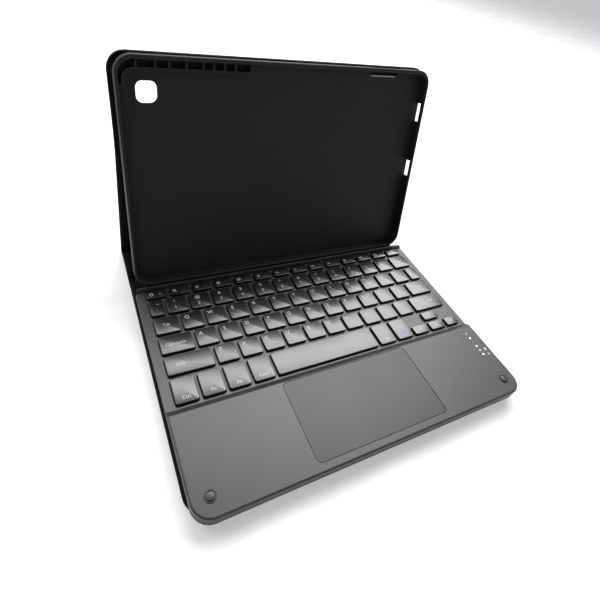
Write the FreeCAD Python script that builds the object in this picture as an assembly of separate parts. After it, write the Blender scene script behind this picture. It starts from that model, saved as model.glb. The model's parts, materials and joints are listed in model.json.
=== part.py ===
import FreeCAD, Part
import math
import os

from FreeCAD import Placement, Rotation, Vector

# Tablet keyboard case: a folding cover that stands a tablet tray behind a thin keyboard.
# Frame: origin at the centre of the base panel's underside, which lies on the table.
# X runs across the keyboard, Y from the typist to the back, Z up. Millimetres.

# ---- cover panels -------------------------------------------------------------------------
panel_width = 255.0
panel_thickness = 3.2
board_thickness = 1.4
lining_thickness = 0.8
hem_width = 4.0
panel_corner_radius = 12.0
base_length = 173.5
base_crease_gap = 12.0
fold_setback = 2.9
upper_setback = 2.2
cover_above_tray = 1.5

# ---- tablet tray --------------------------------------------------------------------------
tray_width = 249.2
tray_height = 160.5
tray_depth = 10.5
tray_floor = 1.8
tray_side_wall = 2.2
tray_top_wall = 3.0
tray_corner_radius = 12.0
tray_back_round = 2.4
tray_rim_round = 0.9
adhesive_thickness = 0.3
lean_back = 16.5
tray_foot_height = 12.0
tray_gap_behind_keyboard = 1.7
fold_below_rim_top = 55.0

camera_window = 13.6
camera_window_radius = 4.4
camera_from_left = 19.6
camera_from_top = 22.4

pen_slot_end = 88.0
pen_slot_width = 4.4
pen_ledge_thickness = 1.8
pen_ledge_below_rim = 3.0
pen_rib_thickness = 1.3
pen_rib_below_rim = 1.4
pen_rib_positions = (12.5, 24.0, 32.5, 43.5, 54.5, 61.5, 69.0, 76.5)

button_window_from_left = 193.6
button_window_length = 27.0
button_window_top = 2.6
button_window_reach = 4.0
speaker_window = (26.3, 15.2, 2.9, 5.8)
port_window = (76.0, 14.5, 2.3, 6.4)

# ---- keyboard -----------------------------------------------------------------------------
keyboard_width = 252.0
keyboard_depth = 167.5
keyboard_overhang = 7.5
keyboard_corner_radius = 12.0
keyboard_rear_radius = 4.0
lower_shell_height = 5.0
palm_height = 11.0
deck_drop = 3.0
shell_wall = 1.8
deck_plate = 1.6
lower_floor = 1.4
parting_groove = 0.5
lower_shell_round = 3.2
deck_edge_round = 1.2
palm_depth = 61.5
ramp_run = 4.2
lip_depth = 3.2
lip_slope = 1.0

# ---- keys ---------------------------------------------------------------------------------
key_field_width = 238.8
key_pitch = 17.42
key_gap = 2.4
key_corner_radius = 1.5
key_rise = 2.2
key_height = 4.0
key_wall = 1.2
key_travel = 1.8
key_hole_clearance = 0.35
stub_diameter = 3.0
stub_length = 2.0
dome_diameter = 5.0
dome_clearance = 0.15
bottom_row_depth = 18.3
letter_row_depth = 14.4
function_row_depth = 7.6
row_gap = 2.4

# ---- parts inside and on the keyboard -----------------------------------------------------
backplate_thickness = 0.6
membrane_thickness = 0.3
light_guide_thickness = 0.4
dome_sheet_thickness = 0.3
touchpad_width = 102.6
touchpad_depth = 54.8
touchpad_behind_ramp = 1.0
touchpad_thickness = 1.6
touchpad_recess = 0.15
touchpad_corner_radius = 3.5
touchpad_gap = 0.4
touchpad_board_thickness = 1.0
touchpad_travel = 0.4
bracket_thickness = 0.8
switch_clearance = 0.1
bumper_diameter = 7.0
bumper_rise = 1.0
bumper_recess = 0.8
bumper_inset_x = 11.1
bumper_inset_y = 11.3
lens_diameter = 1.8
lens_inset_x = 10.3
lens_first_behind_ramp = 11.0
lens_pitch = 8.0
lens_count = 3
port_width = 9.0
port_height = 3.2
port_length = 7.4
port_shell = 0.4
switch_knob_length = 3.5
switch_knob_height = 2.0
switch_knob_proud = 0.7
switch_travel = 3.0
fit_clearance = 0.15
battery_size = (50.0, 40.0, 3.6)
board_size = (52.0, 28.0, 1.0)
screw_head_diameter = 3.6
screw_shank_diameter = 1.6
screw_hole_clearance = 0.05
boss_diameter = 3.6
boss_wall_gap = 0.3
pad_diameter = 12.0
pad_thickness = 0.5
magnet_size = (40.0, 5.0, 1.6)
ledge_depth = 6.5
ledge_width = 236.0
ledge_clearance = 0.4
ledge_magnet = (60.0, 3.0, 3.0)

# ---- heights and places worked out from the sizes above -----------------------------------
keyboard_bottom = panel_thickness
parting_z = keyboard_bottom + lower_shell_height
palm_top = keyboard_bottom + palm_height
key_plane = palm_top - deck_drop
inner_floor = keyboard_bottom + lower_floor
base_front = -base_length / 2.0
base_rear = base_length / 2.0
keyboard_front = base_front - keyboard_overhang
keyboard_rear = keyboard_front + keyboard_depth
keyboard_mid_y = (keyboard_front + keyboard_rear) / 2.0
ramp_top_y = keyboard_front + palm_depth
ramp_foot_y = ramp_top_y + ramp_run
lip_front_y = keyboard_rear - lip_depth
inner_half_width = keyboard_width / 2.0 - shell_wall

lean = math.radians(lean_back)
up_tray = Vector(0, math.sin(lean), math.cos(lean))
out_tray = Vector(0, -math.cos(lean), math.sin(lean))
tray_foot = Vector(0, keyboard_rear + tray_gap_behind_keyboard, tray_foot_height)
tray_hinge = Vector(0, keyboard_rear + 1.0, palm_top + 0.5)
panel_mid_behind_rim = tray_depth + adhesive_thickness + panel_thickness / 2.0
close_angle = 90.0 + lean_back


def turned(point, centre, degrees):
    """The point turned about an axis along X through the centre."""
    return Rotation(Vector(1, 0, 0), degrees).multVec(point - centre) + centre


def fold_axis_point():
    """The crease between the strut and the upper panel, at half the panel's thickness."""
    up = tray_height - fold_below_rim_top
    return tray_foot + up_tray * up - out_tray * panel_mid_behind_rim


spine_front_axis = Vector(0, base_rear + base_crease_gap, panel_thickness / 2.0)
upper_fold = fold_axis_point()
upper_fold_closed = turned(upper_fold, tray_hinge, close_angle)


def closed_error(width):
    """How far a spine of this width misses the strut's end when the case is shut."""
    strut_foot = spine_front_axis + Vector(0, width, 0)
    strut_length = (upper_fold - strut_foot).Length
    strut_foot_closed = upper_fold_closed + Vector(0, strut_length, 0)
    return (strut_foot_closed - spine_front_axis).Length - width


def spine_width_that_closes():
    """Halve the range until the spine fits both the standing and the shut case."""
    low = 10.0
    high = 90.0
    for _ in range(60):
        middle = (low + high) / 2.0
        if closed_error(middle) > 0:
            low = middle
        else:
            high = middle
    return (low + high) / 2.0


spine_width = spine_width_that_closes()
lower_fold = spine_front_axis + Vector(0, spine_width, 0)
strut_vector = upper_fold - lower_fold
strut_length = strut_vector.Length
strut_angle = math.degrees(math.atan2(strut_vector.z, strut_vector.y))

made = {}


def keep(name, shape):
    """Remember a finished piece under its node name."""
    made[name] = shape
    return shape


def box(x0, x1, y0, y1, z0, z1):
    """A block between two corners."""
    return Part.makeBox(x1 - x0, y1 - y0, z1 - z0, Vector(x0, y0, z0))


def rounded_block(x0, x1, y0, y1, z0, z1, radius, rear_radius=None):
    """A block whose four upright edges are rounded; the two at high Y may have their own radius."""
    rear = radius if rear_radius is None else rear_radius
    edges = []
    corners = (
        (x1 - radius, y0 + radius, radius, -90.0),
        (x1 - rear, y1 - rear, rear, 0.0),
        (x0 + rear, y1 - rear, rear, 90.0),
        (x0 + radius, y0 + radius, radius, 180.0),
    )
    ends = []
    for cx, cy, r, start in corners:
        arc = Part.makeCircle(r, Vector(cx, cy, z0), Vector(0, 0, 1), start, start + 90.0)
        ends.append((arc.Vertexes[0].Point, arc.Vertexes[-1].Point))
        edges.append(arc)
    for index in range(4):
        edges.append(Part.makeLine(ends[index][1], ends[(index + 1) % 4][0]))
    wire = Part.Wire(Part.__sortEdges__(edges))
    return Part.Face(wire).extrude(Vector(0, 0, z1 - z0))


def front_rounded_plate(x0, x1, y0, y1, z0, z1, radius):
    """A plate with rounded corners at its low-Y end and square corners at the other."""
    long_plate = rounded_block(x0, x1, y0, y1 + 2.0 * radius, z0, z1, radius)
    return long_plate.common(box(x0 - 1, x1 + 1, y0 - 1, y1, z0 - 1, z1 + 1))


def post(x, y, z0, z1, diameter):
    """An upright cylinder."""
    return Part.makeCylinder(diameter / 2.0, z1 - z0, Vector(x, y, z0))


def prism_x(points, x0, x1):
    """A solid with the given YZ outline, carried along X."""
    corners = [Vector(x0, y, z) for y, z in points]
    return Part.Face(Part.makePolygon(corners + [corners[0]])).extrude(Vector(x1 - x0, 0, 0))


def place(shape, angle, origin):
    """Turn a piece drawn flat about X and move its origin."""
    moved = shape.copy()
    moved.Placement = Placement(origin, Rotation(Vector(1, 0, 0), angle)).multiply(moved.Placement)
    return moved


def fused(shapes):
    """One solid from several that touch or overlap."""
    first = shapes[0]
    return first.multiFuse(shapes[1:]).removeSplitter() if len(shapes) > 1 else first


# ---- cover --------------------------------------------------------------------------------
def panel_layers(blank, y0, y1, round_front, corner):
    """Split a flat panel blank into its leather skin, stiff board and cloth lining."""
    half = panel_width / 2.0 - hem_width
    radius = max(corner - hem_width, 1.0)
    plate = front_rounded_plate if round_front else rounded_block
    inset = (-half, half, y0 + hem_width, y1 - hem_width)
    board_z = panel_thickness - lining_thickness - board_thickness
    pocket = plate(*inset, board_z, panel_thickness + 1.0, radius)
    board = plate(*inset, board_z, board_z + board_thickness, radius)
    lining = plate(*inset, board_z + board_thickness, panel_thickness, radius)
    return blank.cut(pocket), board, lining


def base_panel():
    half = panel_width / 2.0
    blank = front_rounded_plate(-half, half, base_front, base_rear, 0, panel_thickness, panel_corner_radius)
    skin, board, lining = panel_layers(blank, base_front, base_rear, True, panel_corner_radius)
    board_top = panel_thickness - lining_thickness
    magnets = magnet_bars(board_top - board_thickness, board_thickness)
    keep("base_skin", skin)
    keep("base_board", board.cut(magnets))
    keep("base_lining", lining)
    keep("base_magnets", magnets)


def magnet_bars(z, thickness):
    """Two bars side by side under the palm rest."""
    length, depth, _ = magnet_size
    y = ramp_top_y - touchpad_behind_ramp - touchpad_depth * 0.75
    offset = length / 2.0 + 1.0
    bars = [box(x - length / 2, x + length / 2, y, y + depth, z, z + thickness) for x in (-offset, offset)]
    return Part.Compound(bars)


def dock_ledge():
    """The wedge behind the keyboard that the tray's lower edge rests on."""
    gap = ledge_clearance
    front = tray_foot - up_tray * gap
    rear = front - out_tray * (ledge_depth / math.cos(lean))
    outline = [
        (front.y, panel_thickness),
        (rear.y, panel_thickness),
        (rear.y, rear.z),
        (front.y, front.z),
    ]
    half = ledge_width / 2.0
    length, depth, height = ledge_magnet
    middle = (front.y + rear.y) / 2.0
    bars = []
    for x in (-65.0, 65.0):
        bars.append(box(x - length / 2, x + length / 2, middle - depth / 2, middle + depth / 2,
                        panel_thickness, panel_thickness + height))
    magnets = Part.Compound(bars)
    keep("dock_ledge", prism_x(outline, -half, half).cut(magnets))
    keep("dock_magnets", magnets)


def strut_panel():
    """Rises from the lower fold to the upper fold; drawn flat with its lower fold at Y = 0."""
    half = panel_width / 2.0
    mid = panel_thickness / 2.0
    blank = box(-half, half, fold_setback, strut_length, 0, panel_thickness)
    roll = Part.makeCylinder(mid, panel_width, Vector(-half, strut_length, mid), Vector(1, 0, 0))
    blank = fused([blank, roll])
    skin, board, lining = panel_layers(blank, fold_setback, strut_length, False, hem_width)
    for name, shape in (("strut_skin", skin), ("strut_board", board), ("strut_lining", lining)):
        keep(name, place_panel(shape, strut_angle, lower_fold))


def place_panel(shape, angle, fold):
    """Stand a flat panel up about a fold that runs at half its thickness."""
    lowered = shape.copy()
    lowered.translate(Vector(0, 0, -panel_thickness / 2.0))
    return place(lowered, angle, fold)


def spine_panel():
    half = panel_width / 2.0
    mid = panel_thickness / 2.0
    blank = box(-half, half, 0, spine_width, 0, panel_thickness)
    rolls = [Part.makeCylinder(mid, panel_width, Vector(-half, y, mid), Vector(1, 0, 0))
             for y in (0, spine_width)]
    blank = fused([blank] + rolls)
    skin, board, lining = panel_layers(blank, 0, spine_width, False, hem_width)
    for name, shape in (("spine_skin", skin), ("spine_board", board), ("spine_lining", lining)):
        keep(name, place_panel(shape, 0, spine_front_axis))


def tray_place(shape):
    """Move a piece drawn in the tray's own frame (Y up the tray, Z out of its opening)."""
    return place(shape, 90.0 - lean_back, tray_foot)


def camera_cutter(margin, z0, z1):
    half = camera_window / 2.0 + margin
    x = -tray_width / 2.0 + camera_from_left
    y = tray_height - camera_from_top
    return rounded_block(x - half, x + half, y - half, y + half, z0, z1, camera_window_radius + margin)


def upper_panel():
    """Glued to the back of the tray, from the upper fold to just above the rim."""
    half = panel_width / 2.0
    top = tray_height + cover_above_tray
    foot = tray_height - fold_below_rim_top + upper_setback
    blank = front_rounded_plate(-half, half, -top, -foot, 0, panel_thickness, panel_corner_radius)
    skin, board, lining = panel_layers(blank, -top, -foot, True, panel_corner_radius)
    turn = Placement(Vector(0, 0, 0), Rotation(Vector(0, 0, 1), 180))
    back = -(tray_depth + adhesive_thickness + panel_thickness)
    hole = camera_cutter(1.0, back - 1.0, -tray_depth + 1.0)
    for name, shape in (("upper_skin", skin), ("upper_board", board), ("upper_lining", lining)):
        flat = shape.copy()
        flat.Placement = turn.multiply(flat.Placement)
        flat.translate(Vector(0, 0, back))
        keep(name, tray_place(flat.cut(hole)))
    inset = 6.0
    sheet = box(-tray_width / 2 + inset, tray_width / 2 - inset, foot + inset, tray_height - inset,
                -tray_depth - adhesive_thickness, -tray_depth)
    keep("tray_adhesive", tray_place(sheet.cut(hole)))


def tray():
    """Soft moulded tray, drawn with its lower rim edge at the origin and its rim at Z = 0."""
    half = tray_width / 2.0
    shell = rounded_block(-half, half, 0, tray_height, -tray_depth, 0, tray_corner_radius)
    back_edges = [e for e in shell.Edges if abs(e.BoundBox.ZMax + tray_depth) < 1e-6]
    shell = shell.makeFillet(tray_back_round, back_edges)
    inner_half = half - tray_side_wall
    inner_radius = tray_corner_radius - tray_side_wall
    cavity_floor = -tray_depth + tray_floor
    cavity = rounded_block(-inner_half, inner_half, tray_side_wall, tray_height - tray_top_wall,
                           cavity_floor, 1.0, inner_radius)
    shell = shell.cut(cavity)
    rim_edges = [e for e in shell.Edges if abs(e.BoundBox.ZMin) < 1e-6]
    shell = shell.makeFillet(tray_rim_round, rim_edges)
    inner_top = tray_height - tray_top_wall
    slot_low = inner_top - pen_slot_width
    slot_end_x = -half + pen_slot_end
    ledge_low = slot_low - pen_ledge_thickness
    pieces = [shell]
    ledge = box(-inner_half + inner_radius, slot_end_x + pen_rib_thickness, ledge_low, slot_low,
                cavity_floor, -pen_ledge_below_rim)
    pieces.append(ledge)
    pieces.append(pen_ledge_bend(inner_half, inner_radius, slot_low, ledge_low, cavity_floor))
    pieces.append(box(slot_end_x, slot_end_x + pen_rib_thickness, slot_low, inner_top,
                      cavity_floor, -pen_rib_below_rim))
    for offset in pen_rib_positions:
        x = -half + offset
        pieces.append(box(x, x + pen_rib_thickness, slot_low, inner_top, cavity_floor, -pen_rib_below_rim))
    shell = fused(pieces)
    shell = shell.cut(camera_cutter(0, -tray_depth - 1.0, 1.0))
    for cutter in tray_windows(half, inner_top):
        shell = shell.cut(cutter)
    keep("tray", tray_place(shell))


def pen_ledge_bend(inner_half, inner_radius, slot_low, ledge_low, floor_z):
    """The ledge's left end, which curves down and meets the side wall."""
    bend = inner_radius * 0.8
    centre = Vector(-inner_half + inner_radius, slot_low - bend, floor_z)
    height = -pen_ledge_below_rim - floor_z
    ring = Part.makeCylinder(bend, height, centre)
    ring = ring.cut(Part.makeCylinder(bend - pen_ledge_thickness, height, centre))
    quarter = box(centre.x - bend, centre.x, centre.y, centre.y + bend, floor_z, floor_z + height)
    foot_y = centre.y
    side = box(centre.x - bend, centre.x - bend + pen_ledge_thickness, foot_y - 4.0, foot_y,
               floor_z, floor_z + height)
    tie = box(-inner_half - 0.5, centre.x - bend + 0.1, foot_y - 4.0, foot_y - 4.0 + pen_ledge_thickness,
              floor_z, floor_z + height)
    return fused([ring.common(quarter), side, tie])


def tray_windows(half, inner_top):
    """Openings for the tablet's buttons, speaker and charging socket."""
    cutters = []
    x0 = -half + button_window_from_left
    cutters.append(box(x0, x0 + button_window_length, inner_top - button_window_reach, tray_height + 1.0,
                       -tray_depth - 1.0, -button_window_top))
    for from_top, length, below_rim, height in (speaker_window, port_window):
        y1 = tray_height - from_top
        cutters.append(box(half - tray_side_wall - 1.0, half + 1.0, y1 - length, y1,
                           -below_rim - height, -below_rim))
    return cutters


# ---- keys ---------------------------------------------------------------------------------
def key_rows():
    """Every key as (node, left, front, width, depth), from the typist's side to the back."""
    left = -key_field_width / 2.0
    right = key_field_width / 2.0 + key_gap
    keys = []

    def run(node, start, count, front, depth):
        for index in range(count):
            keys.append((node, start + index * key_pitch, front, key_pitch - key_gap, depth))
        return start + count * key_pitch

    def single(node, start, end, front, depth):
        keys.append((node, start, front, end - start - key_gap, depth))
        return end

    front = ramp_foot_y + 1.8
    depth = bottom_row_depth
    half_depth = (depth - row_gap) / 2.0
    x = run("modifier_keys", left, 4, front, depth)
    x = single("space_bar", x, x + 5 * key_pitch, front, depth)
    x = run("right_modifier_keys", x, 2, front, depth)
    x = single("left_arrow_key", x, x + key_pitch, front, half_depth)
    single("down_arrow_key", x, x + key_pitch, front, half_depth)
    x = single("up_arrow_key", x, x + key_pitch, front + half_depth + row_gap, half_depth)
    single("right_arrow_key", x, right, front, half_depth)

    front += depth + row_gap
    depth = letter_row_depth
    x = single("left_shift_key", left, left + 1.95 * key_pitch, front, depth)
    x = run("lower_letter_keys", x, 10, front, depth)
    single("right_shift_key", x, right, front, depth)

    front += depth + row_gap
    x = single("caps_key", left, left + 1.43 * key_pitch, front, depth)
    x = run("home_letter_keys", x, 11, front, depth)
    single("enter_key", x, right, front, depth)

    front += depth + row_gap
    x = single("tab_key", left, left + 1.11 * key_pitch, front, depth)
    x = run("upper_letter_keys", x, 12, front, depth)
    single("upper_letter_keys", x, right, front, depth)

    front += depth + row_gap
    x = single("number_keys", left, left + 0.69 * key_pitch, front, depth)
    x = run("number_keys", x, 12, front, depth)
    single("backspace_key", x, right, front, depth)

    front += depth + row_gap
    pitch = (right - left) / 14.0
    for index in range(14):
        keys.append(("function_keys", left + index * pitch, front, pitch - key_gap, function_row_depth))
    return keys


def key_cap(left, front, width, depth):
    """A hollow cap with a centre stub that presses the rubber dome."""
    top = key_plane + key_rise
    bottom = top - key_height
    cap = rounded_block(left, left + width, front, front + depth, bottom, top, key_corner_radius)
    hollow = box(left + key_wall, left + width - key_wall, front + key_wall, front + depth - key_wall,
                 bottom - 1.0, top - key_wall)
    stub = post(left + width / 2, front + depth / 2, top - key_wall - stub_length, top - key_wall / 2,
                stub_diameter)
    return cap.cut(hollow).fuse(stub)


def key_hole(left, front, width, depth):
    c = key_hole_clearance
    return rounded_block(left - c, left + width + c, front - c, front + depth + c,
                         key_plane - deck_plate - 1.0, key_plane + 1.0, key_corner_radius + c)


def keys():
    groups = {}
    for node, left, front, width, depth in key_rows():
        groups.setdefault(node, []).append(key_cap(left, front, width, depth))
    for node, caps in groups.items():
        keep(node, caps[0] if len(caps) == 1 else Part.Compound(caps))


# ---- keyboard housing ---------------------------------------------------------------------
def keyboard_outline(z0, z1, inset=0.0):
    half = keyboard_width / 2.0 - inset
    return rounded_block(-half, half, keyboard_front + inset, keyboard_rear - inset, z0, z1,
                         keyboard_corner_radius - inset, keyboard_rear_radius - inset)


def touchpad_centre_y():
    return ramp_top_y - touchpad_behind_ramp - touchpad_depth / 2.0


def screw_places():
    rear = keyboard_rear - keyboard_corner_radius
    front = keyboard_front + shell_wall + boss_diameter / 2.0 + 2.0
    edge = inner_half_width - boss_diameter / 2.0 - boss_wall_gap
    middle = touchpad_width / 2.0 + 8.0
    beside_palm = ramp_top_y - 40.0
    return [(-edge, rear), (edge, rear), (-middle, front), (middle, front),
            (-edge, beside_palm), (edge, beside_palm)]


def bumper_places():
    x = keyboard_width / 2.0 - bumper_inset_x
    y = keyboard_front + bumper_inset_y
    return [(-x, y), (x, y)]


def lens_places():
    x = keyboard_width / 2.0 - lens_inset_x
    first = ramp_top_y - lens_first_behind_ramp
    return [(x, first - index * lens_pitch) for index in range(lens_count)]


def board_box():
    width, depth, thickness = board_size
    x1 = inner_half_width - 0.6
    y1 = ramp_top_y - 6.0
    z0 = parting_z - thickness + 0.4
    return x1 - width, x1, y1 - depth, y1, z0, z0 + thickness


def port_place():
    """Centre of the charging socket in Y, and its underside."""
    _, _, _, y1, _, top = board_box()
    return y1 - 9.0, top


def switch_place():
    """Centre of the power switch in Y, and its underside."""
    _, _, y0, _, _, top = board_box()
    return y0 + 7.0, top


def deck():
    """Upper housing: palm rest, ramp, sunk key field and the lip along the back."""
    def outline(drop, wall):
        return [
            (keyboard_front + wall, parting_z),
            (keyboard_rear - wall, parting_z),
            (keyboard_rear - wall, palm_top - drop),
            (lip_front_y + lip_slope + drop * 0.3, palm_top - drop),
            (lip_front_y + drop * 0.3, key_plane - drop),
            (ramp_foot_y - drop * 0.5, key_plane - drop),
            (ramp_top_y - drop * 0.5, palm_top - drop),
            (keyboard_front + wall, palm_top - drop),
        ]

    far = keyboard_width
    outer = prism_x(outline(0.0, 0.0), -far, far).common(keyboard_outline(parting_z, palm_top))
    top_edges = [e for e in outer.Edges if e.BoundBox.ZMin > key_plane - 0.01
                 and abs(e.BoundBox.ZMax - palm_top) < 0.01 and on_outline(e)]
    outer = outer.makeFillet(deck_edge_round, top_edges)
    inner = prism_x(outline(deck_plate, shell_wall), -far, far)
    inner = inner.common(keyboard_outline(parting_z - 1.0, palm_top, shell_wall))
    shell = outer.cut(inner)
    bosses = []
    for x, y in screw_places():
        root = palm_top if y < ramp_top_y else key_plane
        bosses.append(post(x, y, inner_floor + 1.6, root - deck_plate / 2, boss_diameter))
    shell = fused([shell] + bosses)
    cutters = [key_hole(*key[1:]) for key in key_rows()]
    half_w = touchpad_width / 2.0 + touchpad_gap
    half_d = touchpad_depth / 2.0 + touchpad_gap
    mid = touchpad_centre_y()
    cutters.append(rounded_block(-half_w, half_w, mid - half_d, mid + half_d, parting_z, palm_top + 1.0,
                                 touchpad_corner_radius + touchpad_gap))
    for x, y in lens_places():
        cutters.append(post(x, y, parting_z, palm_top + 1.0, lens_diameter + 0.1))
    for x, y in bumper_places():
        cutters.append(post(x, y, palm_top - bumper_recess, palm_top + 2.0, bumper_diameter))
    for x, y in screw_places():
        cutters.append(post(x, y, inner_floor, key_plane - deck_plate - 0.6,
                            screw_shank_diameter + 2 * screw_hole_clearance))
    cutters.append(port_cutter())
    cutters.append(switch_cutter())
    keep("deck", shell.cut(cutters))


def on_outline(edge):
    """True for an edge that follows the keyboard's outer outline."""
    box_ = edge.BoundBox
    near = 0.02
    half = keyboard_width / 2.0
    spans_x = box_.XLength > keyboard_width - 3 * keyboard_corner_radius
    at_end = box_.YMin < keyboard_front + near or box_.YMax > keyboard_rear - near
    at_side = box_.XMax > half - near or box_.XMin < -half + near
    flat = box_.ZLength < near
    return flat and (at_side or (spans_x and at_end) or (at_end and at_side))


def port_cutter():
    y, z = port_place()
    c = fit_clearance
    half = keyboard_width / 2.0
    return box(half - shell_wall - 1.0, half + 1.0, y - port_width / 2 - c, y + port_width / 2 + c,
               z - c, z + port_height + c)


def switch_cutter():
    y, z = switch_place()
    half = keyboard_width / 2.0
    c = fit_clearance
    reach = switch_knob_length / 2 + switch_travel / 2 + c
    return box(half - shell_wall - 1.0, half + 1.0, y - reach, y + reach,
               z + 0.6 - c, z + 0.6 + switch_knob_height + c)


def lower_shell():
    tub = keyboard_outline(keyboard_bottom, parting_z - parting_groove)
    low_edges = [e for e in tub.Edges if abs(e.BoundBox.ZMax - keyboard_bottom) < 1e-6]
    tub = tub.makeFillet(lower_shell_round, low_edges)
    neck = keyboard_outline(parting_z - parting_groove - 0.5, parting_z, parting_groove)
    tub = fused([tub, neck]).cut(keyboard_outline(inner_floor, parting_z + 1.0, shell_wall))
    posts = []
    x0, x1, y0, y1, board_z, _ = board_box()
    for x in (x0 + 3.0, x1 - 6.0):
        for y in (y0 + 3.0, y1 - 3.0):
            posts.append(post(x, y, inner_floor - 0.5, board_z, 4.0))
    bracket_z = bracket_height()
    mid = touchpad_centre_y()
    for x in (-touchpad_width / 2 + 8.0, touchpad_width / 2 - 8.0):
        posts.append(box(x - 1.5, x + 1.5, mid - 16.0, mid + 16.0, inner_floor - 0.5, bracket_z))
    tub = fused([tub] + posts)
    cutters = []
    for x, y in screw_places():
        cutters.append(post(x, y, keyboard_bottom - 1.0, keyboard_bottom + 0.9, screw_head_diameter + 0.2))
        cutters.append(post(x, y, keyboard_bottom, inner_floor + 1.0, screw_shank_diameter + 0.4))
    for x, y in pad_places():
        cutters.append(post(x, y, keyboard_bottom - 1.0, keyboard_bottom + pad_thickness, pad_diameter))
    keep("lower_shell", tub.cut(cutters))


def pad_places():
    x = keyboard_width / 2.0 - 28.0
    return [(sx * x, y) for sx in (-1, 1) for y in (base_front + 16.0, keyboard_rear - 18.0)]


def bracket_height():
    """Underside of the touchpad's steel bracket."""
    board_bottom = palm_top - touchpad_recess - touchpad_thickness - touchpad_board_thickness
    return board_bottom - touchpad_travel - switch_clearance - 0.6 - bracket_thickness


def key_stack():
    """Backplate, membrane, light guide and rubber domes under the keys."""
    half = key_field_width / 2.0 - 0.6
    rows = key_rows()
    y0 = min(row[2] for row in rows)
    y1 = max(row[2] + row[4] for row in rows)
    z = inner_floor
    for name, thickness in (("backplate", backplate_thickness), ("membrane", membrane_thickness),
                            ("light_guide", light_guide_thickness)):
        keep(name, box(-half, half, y0, y1, z, z + thickness))
        z += thickness
    stub_bottom = key_plane + key_rise - key_wall - stub_length
    dome_top = stub_bottom - key_travel - dome_clearance
    sheet = box(-half, half, y0, y1, z, z + dome_sheet_thickness)
    domes = []
    for _, left, front, width, depth in rows:
        centre = Vector(left + width / 2, front + depth / 2, z)
        domes.append(Part.makeCone(dome_diameter / 2, dome_diameter / 4, dome_top - z, centre))
    keep("dome_sheet", sheet.multiFuse(domes))


def touchpad():
    half_w = touchpad_width / 2.0
    half_d = touchpad_depth / 2.0
    mid = touchpad_centre_y()
    top = palm_top - touchpad_recess
    plate = rounded_block(-half_w, half_w, mid - half_d, mid + half_d, top - touchpad_thickness, top,
                          touchpad_corner_radius)
    keep("touchpad", plate)
    board_top = top - touchpad_thickness
    keep("touchpad_board", box(-half_w + 3, half_w - 3, mid - half_d + 3, mid + half_d - 3,
                               board_top - touchpad_board_thickness, board_top))
    z = bracket_height()
    bracket = box(-half_w + 4, half_w - 4, mid - 20.0, mid + 20.0, z, z + bracket_thickness)
    window = box(-half_w + 16, half_w - 16, mid - 4.0, mid + 16.0, z - 1, z + 2)
    keep("touchpad_bracket", bracket.cut(window))
    z += bracket_thickness
    keep("touchpad_switch", box(-3.0, 3.0, mid - 16.0, mid - 10.0, z, z + 0.6))


def bumpers():
    """Soft domed buttons that keep the shut tray off the palm rest."""
    pieces = []
    for x, y in bumper_places():
        foot = post(x, y, palm_top - bumper_recess, palm_top + bumper_rise, bumper_diameter)
        crown = [e for e in foot.Edges if abs(e.BoundBox.ZMin - palm_top - bumper_rise) < 1e-6]
        pieces.append(foot.makeFillet(bumper_rise * 0.8, crown))
    keep("left_bumper", pieces[0])
    keep("right_bumper", pieces[1])


def electronics():
    x0, x1, y0, y1, z0, z1 = board_box()
    keep("main_board", fused([box(x0, x1, y0, y1, z0, z1), box(x0 + 8, x0 + 18, y0 + 8, y0 + 18, z1, z1 + 1.2)]))
    lenses = [post(x, y, z1 + 1.0, palm_top, lens_diameter) for x, y in lens_places()]
    keep("indicator_lenses", Part.Compound(lenses))
    lamps = [box(x - 0.8, x + 0.8, y - 0.8, y + 0.8, z1, z1 + 0.8) for x, y in lens_places()]
    keep("indicator_lamps", Part.Compound(lamps))
    length, depth, height = battery_size
    x = -inner_half_width + 14.0
    y = ramp_top_y - 12.0
    keep("battery", box(x, x + length, y - depth, y, inner_floor, inner_floor + height))
    magnet = magnet_bars(inner_floor, magnet_size[2])
    keep("keyboard_magnets", magnet)
    charging_port()
    power_switch()


def charging_port():
    """Hollow metal socket with its contact tongue, open through the right side wall."""
    y, z = port_place()
    x1 = keyboard_width / 2.0 - 0.4
    outer = box(x1 - port_length, x1, y - port_width / 2, y + port_width / 2, z, z + port_height)
    s = port_shell
    hollow = box(x1 - port_length + 1.0, x1 + 1.0, y - port_width / 2 + s, y + port_width / 2 - s,
                 z + s, z + port_height - s)
    middle = z + port_height / 2
    tongue = box(x1 - port_length + 0.5, x1 - 1.0, y - port_width / 4, y + port_width / 4,
                 middle - 0.35, middle + 0.35)
    keep("charging_port", fused([outer.cut(hollow), tongue]))


def power_switch():
    y, z = switch_place()
    x1 = inner_half_width - 0.5
    body = box(x1 - 3.5, x1, y - 4.5, y + 4.5, z, z + 3.2)
    reach = switch_knob_length / 2 + switch_travel / 2
    slot = box(x1 - 2.0, x1 + 1, y - reach, y + reach, z + 0.6, z + 0.6 + switch_knob_height)
    keep("switch_body", body.cut(slot))
    gap = 0.1
    start = y - switch_travel / 2
    knob_x = keyboard_width / 2.0 + switch_knob_proud
    keep("power_slider", box(x1 - 1.5, knob_x, start - switch_knob_length / 2 + gap,
                             start + switch_knob_length / 2 - gap, z + 0.6 + gap,
                             z + 0.6 + switch_knob_height - gap))


def fasteners():
    screws = []
    for x, y in screw_places():
        head = post(x, y, keyboard_bottom + 0.1, keyboard_bottom + 0.9, screw_head_diameter)
        drive = post(x, y, keyboard_bottom, keyboard_bottom + 0.5, 1.4)
        shank = post(x, y, keyboard_bottom + 0.9, inner_floor + 3.6, screw_shank_diameter)
        screws.append(head.fuse(shank).cut(drive))
    keep("screws", Part.Compound(screws))
    pads = [post(x, y, keyboard_bottom, keyboard_bottom + pad_thickness, pad_diameter)
            for x, y in pad_places()]
    keep("grip_pads", Part.Compound(pads))


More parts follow.
